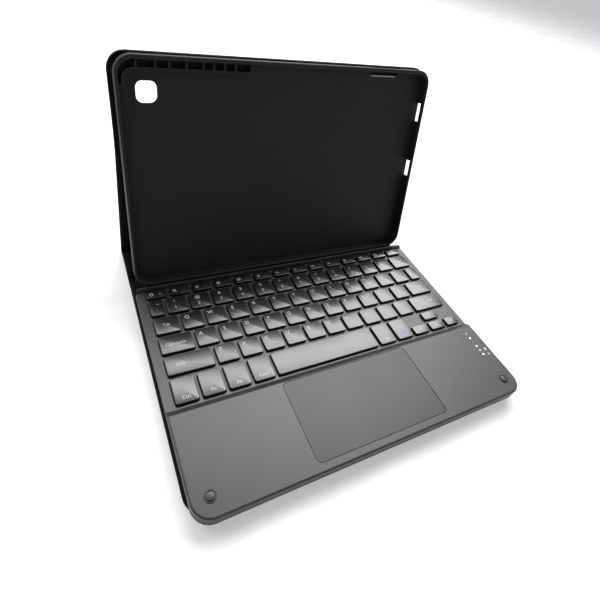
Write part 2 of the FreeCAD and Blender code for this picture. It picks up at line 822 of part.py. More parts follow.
def build():
    base_panel()
    dock_ledge()
    spine_panel()
    strut_panel()
    upper_panel()
    tray()
    keys()
    deck()
    lower_shell()
    key_stack()
    touchpad()
    bumpers()
    electronics()
    fasteners()
    os.makedirs("parts", exist_ok=True)
    for name, shape in made.items():
        shape.exportStep("parts/" + name + ".step")
        solids = len(shape.Solids)
        print("%-20s solids %2d volume %9.1f valid %s" % (name, solids, shape.Volume, shape.isValid()))
    print("nodes", len(made))
    for label, point in (("tray_hinge", tray_hinge), ("upper_fold", upper_fold), ("lower_fold", lower_fold),
                         ("spine_front_axis", spine_front_axis)):
        print("%-18s y %.4f z %.4f" % (label, point.y, point.z))
    print("strut_angle %.4f strut_length %.3f spine_width %.3f" % (strut_angle, strut_length, spine_width))


build()
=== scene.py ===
"""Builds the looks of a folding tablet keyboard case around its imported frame.

Lengths are in metres. X runs across the keyboard, Y from the typist to the back and Z up.
"""

import json
import logging
import math
from collections.abc import Mapping, Sequence
from dataclasses import dataclass, field
from enum import Enum
from typing import Any, ClassVar

import bmesh
import bpy
import numpy as np
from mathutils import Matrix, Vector

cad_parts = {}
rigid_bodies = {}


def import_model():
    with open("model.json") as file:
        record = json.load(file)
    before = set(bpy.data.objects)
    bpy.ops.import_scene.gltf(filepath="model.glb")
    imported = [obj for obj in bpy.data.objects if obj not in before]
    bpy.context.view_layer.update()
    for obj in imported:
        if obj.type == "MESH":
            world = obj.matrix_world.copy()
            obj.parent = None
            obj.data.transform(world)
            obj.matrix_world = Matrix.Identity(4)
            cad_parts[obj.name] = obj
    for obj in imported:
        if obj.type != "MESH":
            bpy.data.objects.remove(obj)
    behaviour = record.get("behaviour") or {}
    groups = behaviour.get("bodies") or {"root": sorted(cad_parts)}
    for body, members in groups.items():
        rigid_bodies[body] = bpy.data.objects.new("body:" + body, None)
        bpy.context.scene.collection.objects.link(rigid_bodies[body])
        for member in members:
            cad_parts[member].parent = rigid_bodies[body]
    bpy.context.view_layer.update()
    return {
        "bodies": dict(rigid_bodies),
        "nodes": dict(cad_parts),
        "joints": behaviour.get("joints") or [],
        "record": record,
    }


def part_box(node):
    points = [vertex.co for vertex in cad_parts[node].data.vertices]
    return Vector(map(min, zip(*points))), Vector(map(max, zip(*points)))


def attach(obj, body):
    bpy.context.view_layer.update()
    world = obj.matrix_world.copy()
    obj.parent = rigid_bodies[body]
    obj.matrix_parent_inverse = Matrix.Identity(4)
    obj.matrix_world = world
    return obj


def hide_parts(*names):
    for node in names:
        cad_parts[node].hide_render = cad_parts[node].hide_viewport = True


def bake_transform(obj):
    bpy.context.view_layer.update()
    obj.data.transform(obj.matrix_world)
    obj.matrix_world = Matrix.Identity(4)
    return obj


log = logging.getLogger("tablet_case")
MM = 0.001
Colour = tuple[float, float, float]


# ---- shader expressions -------------------------------------------------------------------
class Signal:
    """A shader socket that adds Math nodes when it is used in an expression."""

    def __init__(self, graph: "Graph", socket: bpy.types.NodeSocket) -> None:
        """Remember the graph and the socket."""
        self.graph = graph
        self.socket = socket

    def __add__(self, other: Any) -> "Signal":
        """self + other."""
        return self.graph.math("ADD", self, other)

    __radd__ = __add__

    def __mul__(self, other: Any) -> "Signal":
        """self * other."""
        return self.graph.math("MULTIPLY", self, other)

    __rmul__ = __mul__

    def __sub__(self, other: Any) -> "Signal":
        """self - other."""
        return self.graph.math("SUBTRACT", self, other)

    def __rsub__(self, other: Any) -> "Signal":
        """other - self."""
        return self.graph.math("SUBTRACT", other, self)

    def __abs__(self) -> "Signal":
        """The size of self."""
        return self.graph.math("ABSOLUTE", self)

    def fraction(self) -> "Signal":
        """What is left of self above the whole number below it."""
        return self.graph.math("FRACT", self)

    def whole(self) -> "Signal":
        """The whole number below self."""
        return self.graph.math("FLOOR", self)

    def rise(self, low: float, high: float) -> "Signal":
        """A smooth step from 0 at low to 1 at high; low may be above high.

        Args:
            low: the value that gives 0.
            high: the value that gives 1.

        Returns:
            The stepped value.
        """
        node = self.graph.node("ShaderNodeMapRange", {"interpolation_type": "SMOOTHSTEP"},
                               {0: self, 1: low, 2: high, 3: 0.0, 4: 1.0})
        return Signal(self.graph, node.outputs[0])


class Graph:
    """One material's nodes, added through a single method."""

    def __init__(self, tree: bpy.types.NodeTree) -> None:
        """Start from an empty tree."""
        self.tree = tree
        tree.nodes.clear()

    def node(self, kind: str, settings: Mapping[str, Any] | None = None,
             inputs: Mapping[str | int, Any] | None = None) -> bpy.types.Node:
        """Add a node.

        Args:
            kind: the node's type name.
            settings: attributes set before the sockets.
            inputs: values or signals by socket name or number.

        Returns:
            The new node.
        """
        made = self.tree.nodes.new(kind)
        for name, value in (settings or {}).items():
            setattr(made, name, value)
        for name, value in (inputs or {}).items():
            if isinstance(value, Signal):
                self.tree.links.new(value.socket, made.inputs[name])
            elif isinstance(value, tuple) and made.inputs[name].type == "RGBA":
                made.inputs[name].default_value = (*value, 1.0)
            else:
                made.inputs[name].default_value = value
        return made

    def math(self, operation: str, *values: Any) -> Signal:
        """A Math node on one or two values."""
        node = self.node("ShaderNodeMath", {"operation": operation}, dict(enumerate(values)))
        return Signal(self, node.outputs[0])

    def object_place(self) -> Signal:
        """The point's place in its own object."""
        return Signal(self, self.node("ShaderNodeTexCoord").outputs["Object"])

    def sewn_place(self) -> Signal:
        """The point's place as built, which each leather piece keeps."""
        node = self.node("ShaderNodeAttribute", {"attribute_name": Leather.PLACE})
        return Signal(self, node.outputs["Vector"])

    def along(self, place: Signal, direction: Sequence[float]) -> Signal:
        """How far a place lies along a direction."""
        node = self.node("ShaderNodeVectorMath", {"operation": "DOT_PRODUCT"},
                         {0: place, 1: tuple(direction)})
        return Signal(self, node.outputs["Value"])

    def stretched(self, place: Signal, scale: Sequence[float]) -> Signal:
        """A place multiplied by a scale on each axis."""
        node = self.node("ShaderNodeVectorMath", {"operation": "MULTIPLY"}, {0: place, 1: tuple(scale)})
        return Signal(self, node.outputs[0])

    def noise(self, place: Signal, feature: float, detail: float = 2.0) -> Signal:
        """Noise from 0 to 1 whose features are about the given size in metres."""
        node = self.node("ShaderNodeTexNoise", None,
                         {"Vector": place, "Scale": 1.0 / feature, "Detail": detail})
        return Signal(self, node.outputs[0])

    def pebbles(self, place: Signal, feature: float) -> Signal:
        """Distance to the nearest of many scattered points, about 0 at each and 1 between them."""
        node = self.node("ShaderNodeTexVoronoi", {"feature": "SMOOTH_F1"},
                         {"Vector": place, "Scale": 1.0 / feature, "Smoothness": 0.6})
        return Signal(self, node.outputs["Distance"])

    def tint(self, share: Signal, first: Colour, second: Colour) -> Signal:
        """A colour between two, by share."""
        node = self.node("ShaderNodeMix", {"data_type": "RGBA"}, {0: share, 6: first, 7: second})
        return Signal(self, node.outputs[2])

    def relief(self, height: Signal, depth: float) -> Signal:
        """A normal bent by a height from 0 to 1 that stands for a depth in metres."""
        node = self.node("ShaderNodeBump", None, {"Height": height, "Distance": depth, "Strength": 1.0})
        return Signal(self, node.outputs[0])

    def shader(self, constants: Mapping[str, Any], **signals: Signal) -> None:
        """Add the surface shader and the output.

        Args:
            constants: values set on the shader's own sockets.
            **signals: what varies; underscores stand for spaces in the socket names.
        """
        links = {name.replace("_", " "): value for name, value in signals.items()}
        surface = self.node("ShaderNodeBsdfPrincipled", None, {**constants, **links})
        self.node("ShaderNodeOutputMaterial", None, {0: Signal(self, surface.outputs[0])})


# ---- finishes -----------------------------------------------------------------------------
@dataclass(frozen=True)
class Finish:
    """One material of the case. The material is made once and shared."""

    MADE: ClassVar[dict["Finish", bpy.types.Material]] = {}
    name: str
    colour: Colour
    roughness: float = 0.5

    def paint(self, graph: Graph) -> None:
        """Add this finish's nodes."""
        raise NotImplementedError

    def material(self) -> bpy.types.Material:
        """The material, made on its first use.

        Returns:
            The material that every piece of this finish shares.
        """
        if self not in self.MADE:
            made = bpy.data.materials.new(self.name)
            made.use_nodes = True
            made.diffuse_color = (*self.colour, 1.0)
            self.paint(Graph(made.node_tree))
            self.MADE[self] = made
        return self.MADE[self]

    def lighter(self, by: float) -> Colour:
        """The finish's colour multiplied by a number."""
        return tuple(min(c * by, 1.0) for c in self.colour)


@dataclass(frozen=True)
class Moulded(Finish):
    """Moulded plastic or rubber with a spark-eroded grain and faint handling marks."""

    grain: float = 0.35 * MM
    depth: float = 0.012 * MM
    smear: float = 0.10
    specular: float = 0.5

    def cast(self, graph: Graph, broad: Signal, fine: Signal, rough: Signal) -> None:
        """Finish the material from its noises.

        Args:
            graph: the material's nodes.
            broad: noise that shades the colour a little.
            fine: noise that stands for the grain.
            rough: the roughness.
        """
        graph.shader({"Specular IOR Level": self.specular},
                     Base_Color=graph.tint(broad.rise(0.3, 0.7), self.lighter(0.85), self.lighter(1.15)),
                     Roughness=rough, Normal=graph.relief(fine, self.depth))

    def paint(self, graph: Graph) -> None:
        """Fine noise for the grain, and broad noise that shifts roughness and colour a little.

        Args:
            graph: the material's nodes.
        """
        place = graph.object_place()
        fine = graph.noise(place, self.grain, 3.0)
        broad = graph.noise(place, 34.0 * MM, 3.0)
        rough = self.roughness + (broad - 0.5) * self.smear + (fine - 0.5) * 0.08
        self.cast(graph, broad, fine, rough)


@dataclass(frozen=True)
class DeckPlastic(Moulded):
    """Satin housing plastic whose sunk key field is smoother than its frame."""

    field_low: tuple[float, float] = (0.0, 0.0)
    field_high: tuple[float, float] = (0.0, 0.0)
    field_roughness: float = 0.40

    def paint(self, graph: Graph) -> None:
        """The key field is a rectangle in X and Y, found by smooth steps at its four sides.

        Args:
            graph: the material's nodes.
        """
        place = graph.object_place()
        fine = graph.noise(place, self.grain, 3.0)
        broad = graph.noise(place, 40.0 * MM, 3.0)
        edge = 0.25 * MM
        windows = []
        for axis, low, high in zip(((1, 0, 0), (0, 1, 0)), self.field_low, self.field_high):
            value = graph.along(place, axis)
            windows.append(value.rise(low - edge, low + edge) * value.rise(high + edge, high - edge))
        frame_rough = self.roughness + (broad - 0.5) * self.smear + (fine - 0.5) * 0.1
        rough = frame_rough + windows[0] * windows[1] * (self.field_roughness - self.roughness)
        self.cast(graph, broad, fine, rough)


@dataclass(frozen=True)
class TrayPlastic(Moulded):
    """Soft tray plastic with rows of short upright dashes moulded into its floor."""

    foot: tuple[float, float, float] = (0.0, 0.0, 0.0)
    up: tuple[float, float, float] = (0.0, 0.0, 1.0)
    out: tuple[float, float, float] = (0.0, -1.0, 0.0)
    floor: float = -8.7 * MM
    dash_pitch: tuple[float, float] = (3.0 * MM, 4.4 * MM)

    def paint(self, graph: Graph) -> None:
        """Dashes repeat across and up the floor, every second row moved by half a pitch.

        Args:
            graph: the material's nodes.
        """
        place = graph.object_place()
        fine = graph.noise(place, self.grain, 3.0)
        broad = graph.noise(place, 50.0 * MM, 3.0)
        depth = graph.along(place, self.out) - float(np.dot(self.foot, self.out))
        height = graph.along(place, self.up) - float(np.dot(self.foot, self.up))
        on_floor = abs(depth - self.floor).rise(0.5 * MM, 0.3 * MM)
        row = height * (1.0 / self.dash_pitch[1])
        column = graph.along(place, (1, 0, 0)) * (1.0 / self.dash_pitch[0]) + row.whole() * 0.5
        across = abs(column.fraction() - 0.5)
        upwards = abs(row.fraction() - 0.5)
        dash = across.rise(0.15, 0.09) * upwards.rise(0.34, 0.26) * on_floor
        rough = self.roughness + (broad - 0.5) * self.smear - dash * 0.12
        graph.shader({"Specular IOR Level": self.specular},
                     Base_Color=graph.tint(dash, self.colour, self.lighter(1.25)),
                     Roughness=rough, Normal=graph.relief(dash + fine * 0.2, 0.06 * MM))


@dataclass(frozen=True)
class Leather(Finish):
    """Pebbled black cover leather, a little worn on its raised grain."""

    PLACE: ClassVar[str] = "sewn_place"
    pebble: float = 1.1 * MM
    depth: float = 0.09 * MM
    specular: float = 0.10

    def paint(self, graph: Graph) -> None:
        """Pebbles of two sizes with fine pores; the tops are a touch smoother and lighter.

        Args:
            graph: the material's nodes.
        """
        place = graph.sewn_place()
        warp = graph.noise(place, 4.0 * MM, 2.0)
        large = graph.pebbles(place, self.pebble)
        small = graph.pebbles(place, self.pebble * 0.45)
        pores = graph.noise(place, 0.25 * MM, 2.0)
        height = 1.0 - (large * 0.6 + small * 0.3) + (pores - 0.5) * 0.15
        wear = graph.noise(place, 45.0 * MM, 4.0).rise(0.45, 0.75)
        rough = self.roughness + (warp - 0.5) * 0.16 - wear * 0.08 + large * 0.1
        graph.shader({"Specular IOR Level": self.specular},
                     Base_Color=graph.tint(wear * height, self.colour, self.lighter(1.9)),
                     Roughness=rough, Normal=graph.relief(height, self.depth))


@dataclass(frozen=True)
class Microfibre(Finish):
    """Brushed cloth lining: short fibres that lie in slightly different directions."""

    def paint(self, graph: Graph) -> None:
        """Stretched fine noise for the fibres and broad noise for brushed patches.

        Args:
            graph: the material's nodes.
        """
        place = graph.sewn_place()
        fibres = graph.noise(graph.stretched(place, (1.0, 0.35, 0.35)), 0.22 * MM, 4.0)
        patches = graph.noise(place, 16.0 * MM, 3.0)
        graph.shader({"Specular IOR Level": 0.1},
                     Base_Color=graph.tint(patches.rise(0.35, 0.65), self.lighter(0.8), self.lighter(1.3)),
                     Roughness=self.roughness + (fibres - 0.5) * 0.2,
                     Normal=graph.relief(fibres, 0.1 * MM))


@dataclass(frozen=True)
class Ink(Finish):
    """Printed or lasered legend, slightly uneven."""

    # glow is emission. On the white and blue legends it is painted light: a glow that keeps the print bright
    # where the tray's shade falls on the keys. On the indicator light pipes it stands for their lit lamps.
    glow: float = 0.0

    def paint(self, graph: Graph) -> None:
        """Fine noise thins the ink here and there.

        Args:
            graph: the material's nodes.
        """
        place = graph.object_place()
        thin = graph.noise(place, 0.5 * MM, 2.0)
        # Emission in the ink's own colour; on the legends this is painted light, not part of the print.
        graph.shader({"Emission Strength": self.glow, "Emission Color": self.colour},
                     Base_Color=graph.tint(thin.rise(0.25, 0.5), self.lighter(0.8), self.colour),
                     Roughness=self.roughness + (thin - 0.5) * 0.2)


@dataclass(frozen=True)
class Metal(Finish):
    """Bare or plated metal with brushed lines along X."""

    def paint(self, graph: Graph) -> None:
        """Noise stretched along X for the brushing.

        Args:
            graph: the material's nodes.
        """
        place = graph.object_place()
        lines = graph.noise(graph.stretched(place, (0.04, 1.0, 1.0)), 0.12 * MM, 3.0)
        graph.shader({"Metallic": 1.0},
                     Base_Color=graph.tint(lines, self.lighter(0.85), self.lighter(1.1)),
                     Roughness=self.roughness + (lines - 0.5) * 0.2,
                     Normal=graph.relief(lines, 0.01 * MM))


@dataclass(frozen=True)
class Board(Finish):
    """Pressed board, film or a circuit board: flat, with a faint fibre or trace pattern."""

    fibre: float = 0.8 * MM
    glow: float = 0.0

    def paint(self, graph: Graph) -> None:
        """Noise of one size in colour and relief.

        Args:
            graph: the material's nodes.
        """
        place = graph.object_place()
        fibre = graph.noise(place, self.fibre, 4.0)
        graph.shader({"Emission Strength": self.glow, "Emission Color": self.colour},
                     Base_Color=graph.tint(fibre.rise(0.35, 0.65), self.lighter(0.92), self.lighter(1.08)),
                     Roughness=self.roughness + (fibre - 0.5) * 0.2,
                     Normal=graph.relief(fibre, 0.03 * MM))


# ---- surfaces -----------------------------------------------------------------------------
@dataclass
class Shell:
    """A surface kept as arrays until its mesh is made."""

    points: np.ndarray
    faces: list[tuple[int, ...]]
    marks: list[int] = field(default_factory=list)

    def __post_init__(self) -> None:
        """Faces take the first finish unless told otherwise, and point outwards."""
        if not self.marks:
            self.marks = [0] * len(self.faces)

    def volume(self) -> float:
        """Signed volume: the sum over fan triangles of the triple product, divided by 6.

        Returns:
            The volume, below zero when the faces point inwards.
        """
        total = 0.0
        by_count: dict[int, list[tuple[int, ...]]] = {}
        for face in self.faces:
            by_count.setdefault(len(face), []).append(face)
        for count, group in by_count.items():
            corner = self.points[np.array(group)]
            for index in range(1, count - 1):
                cross = np.cross(corner[:, index], corner[:, index + 1])
                total += float(np.einsum("ij,ij->", corner[:, 0], cross))
        return total / 6.0

    def outward(self) -> "Shell":
        """Turn every face outwards.

        Returns:
            This shell.
        """
        if self.volume() < 0:
            self.faces = [face[::-1] for face in self.faces]
        return self

    def moved(self, x: float, y: float, z: float) -> "Shell":
        """A moved copy."""
        return Shell(self.points + np.array([x, y, z]), self.faces, list(self.marks))

    @staticmethod
    def joined(shells: Sequence["Shell"]) -> "Shell":
        """One shell from several.

        Args:
            shells: the parts, which keep their marks.

        Returns:
            The joined shell.
        """
        points, faces, marks, base = [], [], [], 0
        for shell in shells:
            points.append(shell.points)
            faces += [tuple(i + base for i in face) for face in shell.faces]
            marks += shell.marks
            base += len(shell.points)
        return Shell(np.vstack(points), faces, marks)

    def marked(self, mark: int) -> "Shell":
        """The same surface with all its faces given one finish."""
        self.marks = [mark] * len(self.faces)
        return self

    def thing(self, name: str, finishes: Sequence[Finish], crease: float = 35.0) -> bpy.types.Object:
        """Make the object.

        Args:
            name: the piece's name.
            finishes: the finishes that the face marks count through.
            crease: edges sharper than this many degrees stay sharp.

        Returns:
            An object at the origin whose place is in its mesh.
        """
        mesh = bpy.data.meshes.new(name)
        mesh.from_pydata(self.points.tolist(), [], self.faces)
        mesh.polygons.foreach_set("material_index", self.marks)
        mesh.polygons.foreach_set("use_smooth", [True] * len(self.faces))
        for finish in finishes:
            mesh.materials.append(finish.material())
        mesh.set_sharp_from_angle(angle=math.radians(crease))
        mesh.update()
        made = bpy.data.objects.new(name, mesh)
        bpy.context.scene.collection.objects.link(made)
        return made


def swept(rings: np.ndarray, closed: bool = False) -> Shell:
    """A tube through rings of points.

    Vertex (i, j) is point j of ring i; each face joins neighbours in i and j, where j runs round.

    Args:
        rings: an array of shape (rings, points in a ring, 3).
        closed: whether the last ring joins the first; if not, both ends are capped.

    Returns:
        A closed shell.
    """
    rows, columns = rings.shape[:2]
    i, j = np.meshgrid(np.arange(rows if closed else rows - 1), np.arange(columns), indexing="ij")
    ni, nj = (i + 1) % rows, (j + 1) % columns
    quads = np.stack([i * columns + j, i * columns + nj, ni * columns + nj, ni * columns + j], -1)
    faces = [tuple(q) for q in quads.reshape(-1, 4).tolist()]
    if not closed:
        last = (rows - 1) * columns
        faces.append(tuple(range(columns))[::-1])
        faces.append(tuple(range(last, last + columns)))
    return Shell(rings.reshape(-1, 3), faces).outward()


def rounded_loop(half_x: float, half_y: float, radius: float, steps: int = 5) -> np.ndarray:
    """A rectangle with round corners, anticlockwise about the origin.

    Each corner is its centre plus radius times (cos, sin) of an angle that runs over 90 degrees.

    Args:
        half_x: half the width.
        half_y: half the depth.
        radius: the corners' radius.
        steps: points in each corner.

    Returns:
        An array of shape (4 * steps, 2).
    """
    quarter = np.linspace(0.0, math.pi / 2, steps)
    corners = []
    for turn, (sx, sy) in enumerate(((1, 1), (-1, 1), (-1, -1), (1, -1))):
        angle = quarter + turn * math.pi / 2
        centre = np.array([sx * (half_x - radius), sy * (half_y - radius)])
        corners.append(centre + radius * np.stack([np.cos(angle), np.sin(angle)], 1))
    return np.vstack(corners)


def lifted(loop: np.ndarray, z: float) -> np.ndarray:
    """A flat loop raised to a height."""
    return np.column_stack([loop, np.full(len(loop), z)])


def lathed(profile: Sequence[tuple[float, float]], segments: int = 32) -> Shell:
    """A profile of (radius, height) turned about the Z axis.

    Args:
        profile: points from one end of the axis to the other; none lies on the axis.
        segments: points round the axis.

    Returns:
        A closed shell with flat ends.
    """
    angle = np.linspace(0.0, 2 * math.pi, segments, endpoint=False)
    circle = np.stack([np.cos(angle), np.sin(angle)], 1)
    return swept(np.stack([lifted(circle * radius, height) for radius, height in profile]))


def stroke(path: Sequence[tuple[float, float]], width: float, thickness: float,
           closed: bool = False) -> Shell:
    """A flat line of the given width along a path, as a thin closed solid.

    Each point is moved sideways by half the width along the mean of its neighbours' normals.

    Args:
        path: points in X and Y.
        width: the line's width.
        thickness: the solid's height, from Z = 0.
        closed: whether the path returns to its start.

    Returns:
        The line.
    """
    line = np.array(path, float)
    if closed:
        ahead, behind = np.roll(line, -1, 0), np.roll(line, 1, 0)
    else:
        ahead = np.vstack([line[1:], line[-1:]])
        behind = np.vstack([line[:1], line[:-1]])
    tangent = ahead - behind
    tangent /= np.linalg.norm(tangent, axis=1, keepdims=True)
    side = np.stack([-tangent[:, 1], tangent[:, 0]], 1) * width / 2
    low, high = np.zeros((len(line), 1)), np.full((len(line), 1), thickness)
    ring = [np.hstack([line + side, low]), np.hstack([line - side, low]),
            np.hstack([line - side, high]), np.hstack([line + side, high])]
    return swept(np.stack(ring, 1), closed)


def arc(centre: tuple[float, float], radius: float, start: float, end: float,
        count: int) -> list[tuple[float, float]]:
    """Points on a circle between two angles in degrees."""
    angles = np.radians(np.linspace(start, end, count))
    return [(centre[0] + radius * math.cos(a), centre[1] + radius * math.sin(a)) for a in angles]


_letters: dict[tuple[str, float], Shell] = {}


def lettering(text: str, height: float, thickness: float = 0.03 * MM) -> Shell:
    """A line of plain letters as a thin closed solid, centred on the origin in X and Y.

    Args:
        text: what to write.
        height: the font's size.
        thickness: the solid's height, from Z = 0.

    Returns:
        The letters.
    """
    key = (text, height)
    if key not in _letters:
        curve = bpy.data.curves.new("letters", "FONT")
        curve.body = text
        curve.size = height
        curve.align_x = "CENTER"
        curve.align_y = "CENTER"
        curve.extrude = thickness / 2
        curve.resolution_u = 3
        holder = bpy.data.objects.new("letters", curve)
        bpy.context.scene.collection.objects.link(holder)
        mesh = bpy.data.meshes.new_from_object(holder.evaluated_get(bpy.context.evaluated_depsgraph_get()))
        work = bmesh.new()
        work.from_mesh(mesh)
        bmesh.ops.remove_doubles(work, verts=work.verts, dist=1e-6)
        points = np.array([v.co for v in work.verts], float).reshape(-1, 3)
        points[:, 2] += thickness / 2
        _letters[key] = Shell(points, [tuple(v.index for v in f.verts) for f in work.faces])
        work.free()
        bpy.data.objects.remove(holder)
        bpy.data.meshes.remove(mesh)
        bpy.data.curves.remove(curve)
    kept = _letters[key]
    return Shell(kept.points.copy(), kept.faces, list(kept.marks))


# ---- the folding cover --------------------------------------------------------------------
@dataclass
class CoverPath:
    """The cover's middle line in Y and Z, with its corners rounded.

    Each corner is replaced by the arc of a circle that touches both of its sides.
    """

    corners: list[tuple[float, float]]
    radii: list[float]

    def samples(self, step: float) -> tuple[np.ndarray, np.ndarray, np.ndarray]:
        """Points, unit tangents and distances along the line.

        Args:
            step: the spacing on the straight runs.

        Returns:
            Arrays of shape (n, 2), (n, 2) and (n,).
        """
        corner = [np.array(c, float) for c in self.corners]
        points = [corner[0]]
        for index in range(1, len(corner) - 1):
            before = corner[index] - corner[index - 1]
            after = corner[index + 1] - corner[index]
            before /= np.linalg.norm(before)
            after /= np.linalg.norm(after)
            turn = math.acos(float(np.clip(before @ after, -1, 1)))
            reach = self.radii[index - 1] * math.tan(turn / 2)
            start = corner[index] - before * reach
            side = 1.0 if before[0] * after[1] - before[1] * after[0] > 0 else -1.0
            normal = np.array([-before[1], before[0]]) * side
            centre = start + normal * self.radii[index - 1]
            points += self.run(points[-1], start, step)
            for angle in np.linspace(0, turn, 9)[1:]:
                away = -normal * math.cos(angle) + before * math.sin(angle)
                points.append(centre + away * self.radii[index - 1])
        points += self.run(points[-1], corner[-1], step)
        line = np.array(points)
        gaps = np.linalg.norm(np.diff(line, axis=0), axis=1)
        along = np.concatenate([[0.0], np.cumsum(gaps)])
        tangent = np.gradient(line, along, axis=0)
        return line, tangent / np.linalg.norm(tangent, axis=1, keepdims=True), along

    @staticmethod
    def run(start: np.ndarray, end: np.ndarray, step: float) -> list[np.ndarray]:
        """Evenly spaced points after start, up to end."""
        count = max(2, int(math.ceil(float(np.linalg.norm(end - start)) / step)))
        return [start + (end - start) * share for share in np.linspace(0, 1, count + 1)[1:]]


@dataclass
class Cover:
    """The leather folder: upper panel, strut, spine and base panel with thin folds between them."""

    HEM_OFFSETS: ClassVar[np.ndarray] = np.array([-0.7, -0.35, 0.0, 0.35, 0.7]) * MM
    frame: dict[str, Any]
    leather: Leather
    lining: Microfibre
    upper_above_fold: float = 56.5 * MM
    split_above_foot: float = 16.0 * MM
    upper_bend: float = 9.0 * MM
    foot_bend: float = 2.6 * MM
    corner: float = 12.0 * MM
    edge: float = 1.3 * MM
    hem: float = 4.0 * MM
    fold_half: float = 3.4 * MM
    fold_blend: float = 2.0 * MM
    fold_inner: float = -0.4 * MM
    crease_roll: float = 1.6 * MM
    groove: float = 0.22 * MM
    groove_half: float = 0.3 * MM
    flat: float = 1.4 * MM
    step: float = 2.4 * MM

    def __post_init__(self) -> None:
        """Read the panels' sizes and the fold lines from the frame."""
        joints = {j["name"]: j for j in self.frame["joints"]}
        self.upper_fold = np.array(joints["strut_fold"]["pos_m"][1:])
        self.lower_fold = np.array(joints["spine_fold"]["pos_m"][1:])
        low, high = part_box("base_skin")
        self.half_width = high.x
        self.half = (high.z - low.z) / 2
        self.base_front, self.base_rear = low.y, high.y
        self.spine_front = self.lower_fold[0] - (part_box("spine_skin")[1].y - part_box("spine_skin")[0].y) \
            + 2 * self.half
        lean = math.radians(joints["tray_fold"]["range_deg"][1] - 90.0)
        self.up = np.array([math.sin(lean), math.cos(lean)])

    def thickness(self, along: np.ndarray, folds: Sequence[float], ends: tuple[float, float]) \
            -> tuple[np.ndarray, np.ndarray]:
        """Distances from the middle line to the outer and the inner face.

        The inner face sinks at each fold by a smooth step; both faces close in a quarter circle at an end.

        Args:
            along: places along the line.
            folds: the folds' places along the line.
            ends: edge radius at the start and the end; 0 leaves that end square.

        Returns:
            The outer and the inner distance at each place.
        """
        outer = np.full_like(along, self.half)
        inner = outer.copy()
        for fold in folds:
            share = np.clip((np.abs(along - fold) - self.fold_half) / self.fold_blend, 0, 1)
            smooth = share * share * (3 - 2 * share)
            inner = np.minimum(inner, self.fold_inner + (self.half - self.fold_inner) * smooth)
        for distance, radius in ((along - along[0], ends[0]), (along[-1] - along, ends[1])):
            if radius:
                share = np.clip(1 - distance / radius, 0, 0.97)
                close = np.sqrt(1 - share * share)
                outer, inner = outer * close, inner * close
        return outer, inner

    def width(self, along: np.ndarray, corners: tuple[float, float]) -> np.ndarray:
        """Half the cover's width, less at an end whose corners are round.

        Half width minus radius, plus the root of radius squared minus the missing distance squared.

        Args:
            along: places along the line.
            corners: the corner radius at the start and at the end, or 0.

        Returns:
            Half the width at each place.
        """
        wide = np.full_like(along, self.half_width)
        for distance, radius in ((along - along[0], corners[0]), (along[-1] - along, corners[1])):
            if radius:
                missing = np.clip(radius - distance, 0, radius)
                wide = np.minimum(wide, self.half_width - radius + np.sqrt(radius**2 - missing**2))
        return wide

    def ribbon(self, path: CoverPath, folds: Sequence[float], corners: tuple[float, float],
               rounded: tuple[float, float], roll: bool = False) -> Shell:
        """A closed strip of cover along a path.

        Ring i is the cross-section at distance s: across X it runs from side to side at the outer
        distance, round each edge by cosine and sine, and back at the inner distance, where a narrow
        bell-shaped groove follows the hem.

        Args:
            path: the middle line.
            folds: places of the thin folds along it.
            corners: corner radii in plan at the start and the end.
            rounded: edge radii at the start and the end.
            roll: whether the strip starts with a round roll of leather.

        Returns:
            The strip; lining faces are marked 1.
        """
        line, tangent, along = path.samples(self.step)
        line, tangent, along = self.refine(line, tangent, along, corners, rounded)
        outer, inner = self.thickness(along, folds, rounded)
        if roll:
            reach = np.sqrt(np.clip(self.crease_roll**2 - (along - self.crease_roll) ** 2, 0.0, None))
            start = along < self.crease_roll
            outer = np.where(start, np.maximum(reach, 0.25 * self.crease_roll), outer)
            inner = np.where(along < 2 * self.crease_roll, np.maximum(reach, self.fold_inner), inner)
            inner = np.maximum(inner, np.where(start, 0.25 * self.crease_roll, inner))
        wide = self.width(along, corners)
        turn = np.radians(np.linspace(90.0, -90.0, 9)[1:-1])
        cos, sin = np.cos(turn), np.sin(turn)
        inset = np.concatenate([[self.edge], self.hem + self.HEM_OFFSETS, [self.hem + 6 * MM]])
        rings = []
        for place, way, s, out, into, half in zip(line, tangent, along, outer, inner, wide):
            edge = min(self.edge, 0.9 * min(abs(out), max(into, 0.3 * MM)))
            rim = half - np.array([self.edge, self.edge + self.flat])
            middle = np.linspace(1.0, -1.0, 9) * (half - self.hem - 4 * MM)
            front_x = np.concatenate([rim, middle, -rim[::-1]])
            side_x = -(half - self.edge + self.edge * cos)
            side_n = np.where(sin > 0, out - edge, edge - into) + edge * sin
            back_x = np.concatenate([inset - half, np.linspace(-0.75, 0.75, 7) * (half - self.hem - 6 * MM),
                                     half - inset[::-1]])
            away = np.minimum(half - np.abs(back_x), self.end_distance(s, along, rounded))
            back_n = self.groove * np.exp(-((away - self.hem) / self.groove_half) ** 2) - into
            ring_x = np.concatenate([front_x, side_x, back_x, -side_x[::-1]])
            ring_n = np.concatenate([np.full_like(front_x, out), side_n, back_n, side_n[::-1]])
            rings.append(np.column_stack([ring_x, place[0] - way[1] * ring_n, place[1] + way[0] * ring_n]))
        shell = swept(np.stack(rings))
        first = len(front_x) + len(side_x)
        return self.lined(shell, along, wide, rounded, slice(first, first + len(back_x) - 1))

    @staticmethod
    def end_distance(s: Any, along: np.ndarray, rounded: tuple[float, float]) -> Any:
        """Distance to the nearest finished end of the strip.

        Args:
            s: one place along the strip, or an array of them.
            along: the strip's places.
            rounded: edge radii at the ends; 0 marks an end that isn't finished.

        Returns:
            The distance, or an array of them.
        """
        far = np.full_like(s, math.inf)
        return np.minimum(s - along[0] if rounded[0] else far, along[-1] - s if rounded[1] else far)

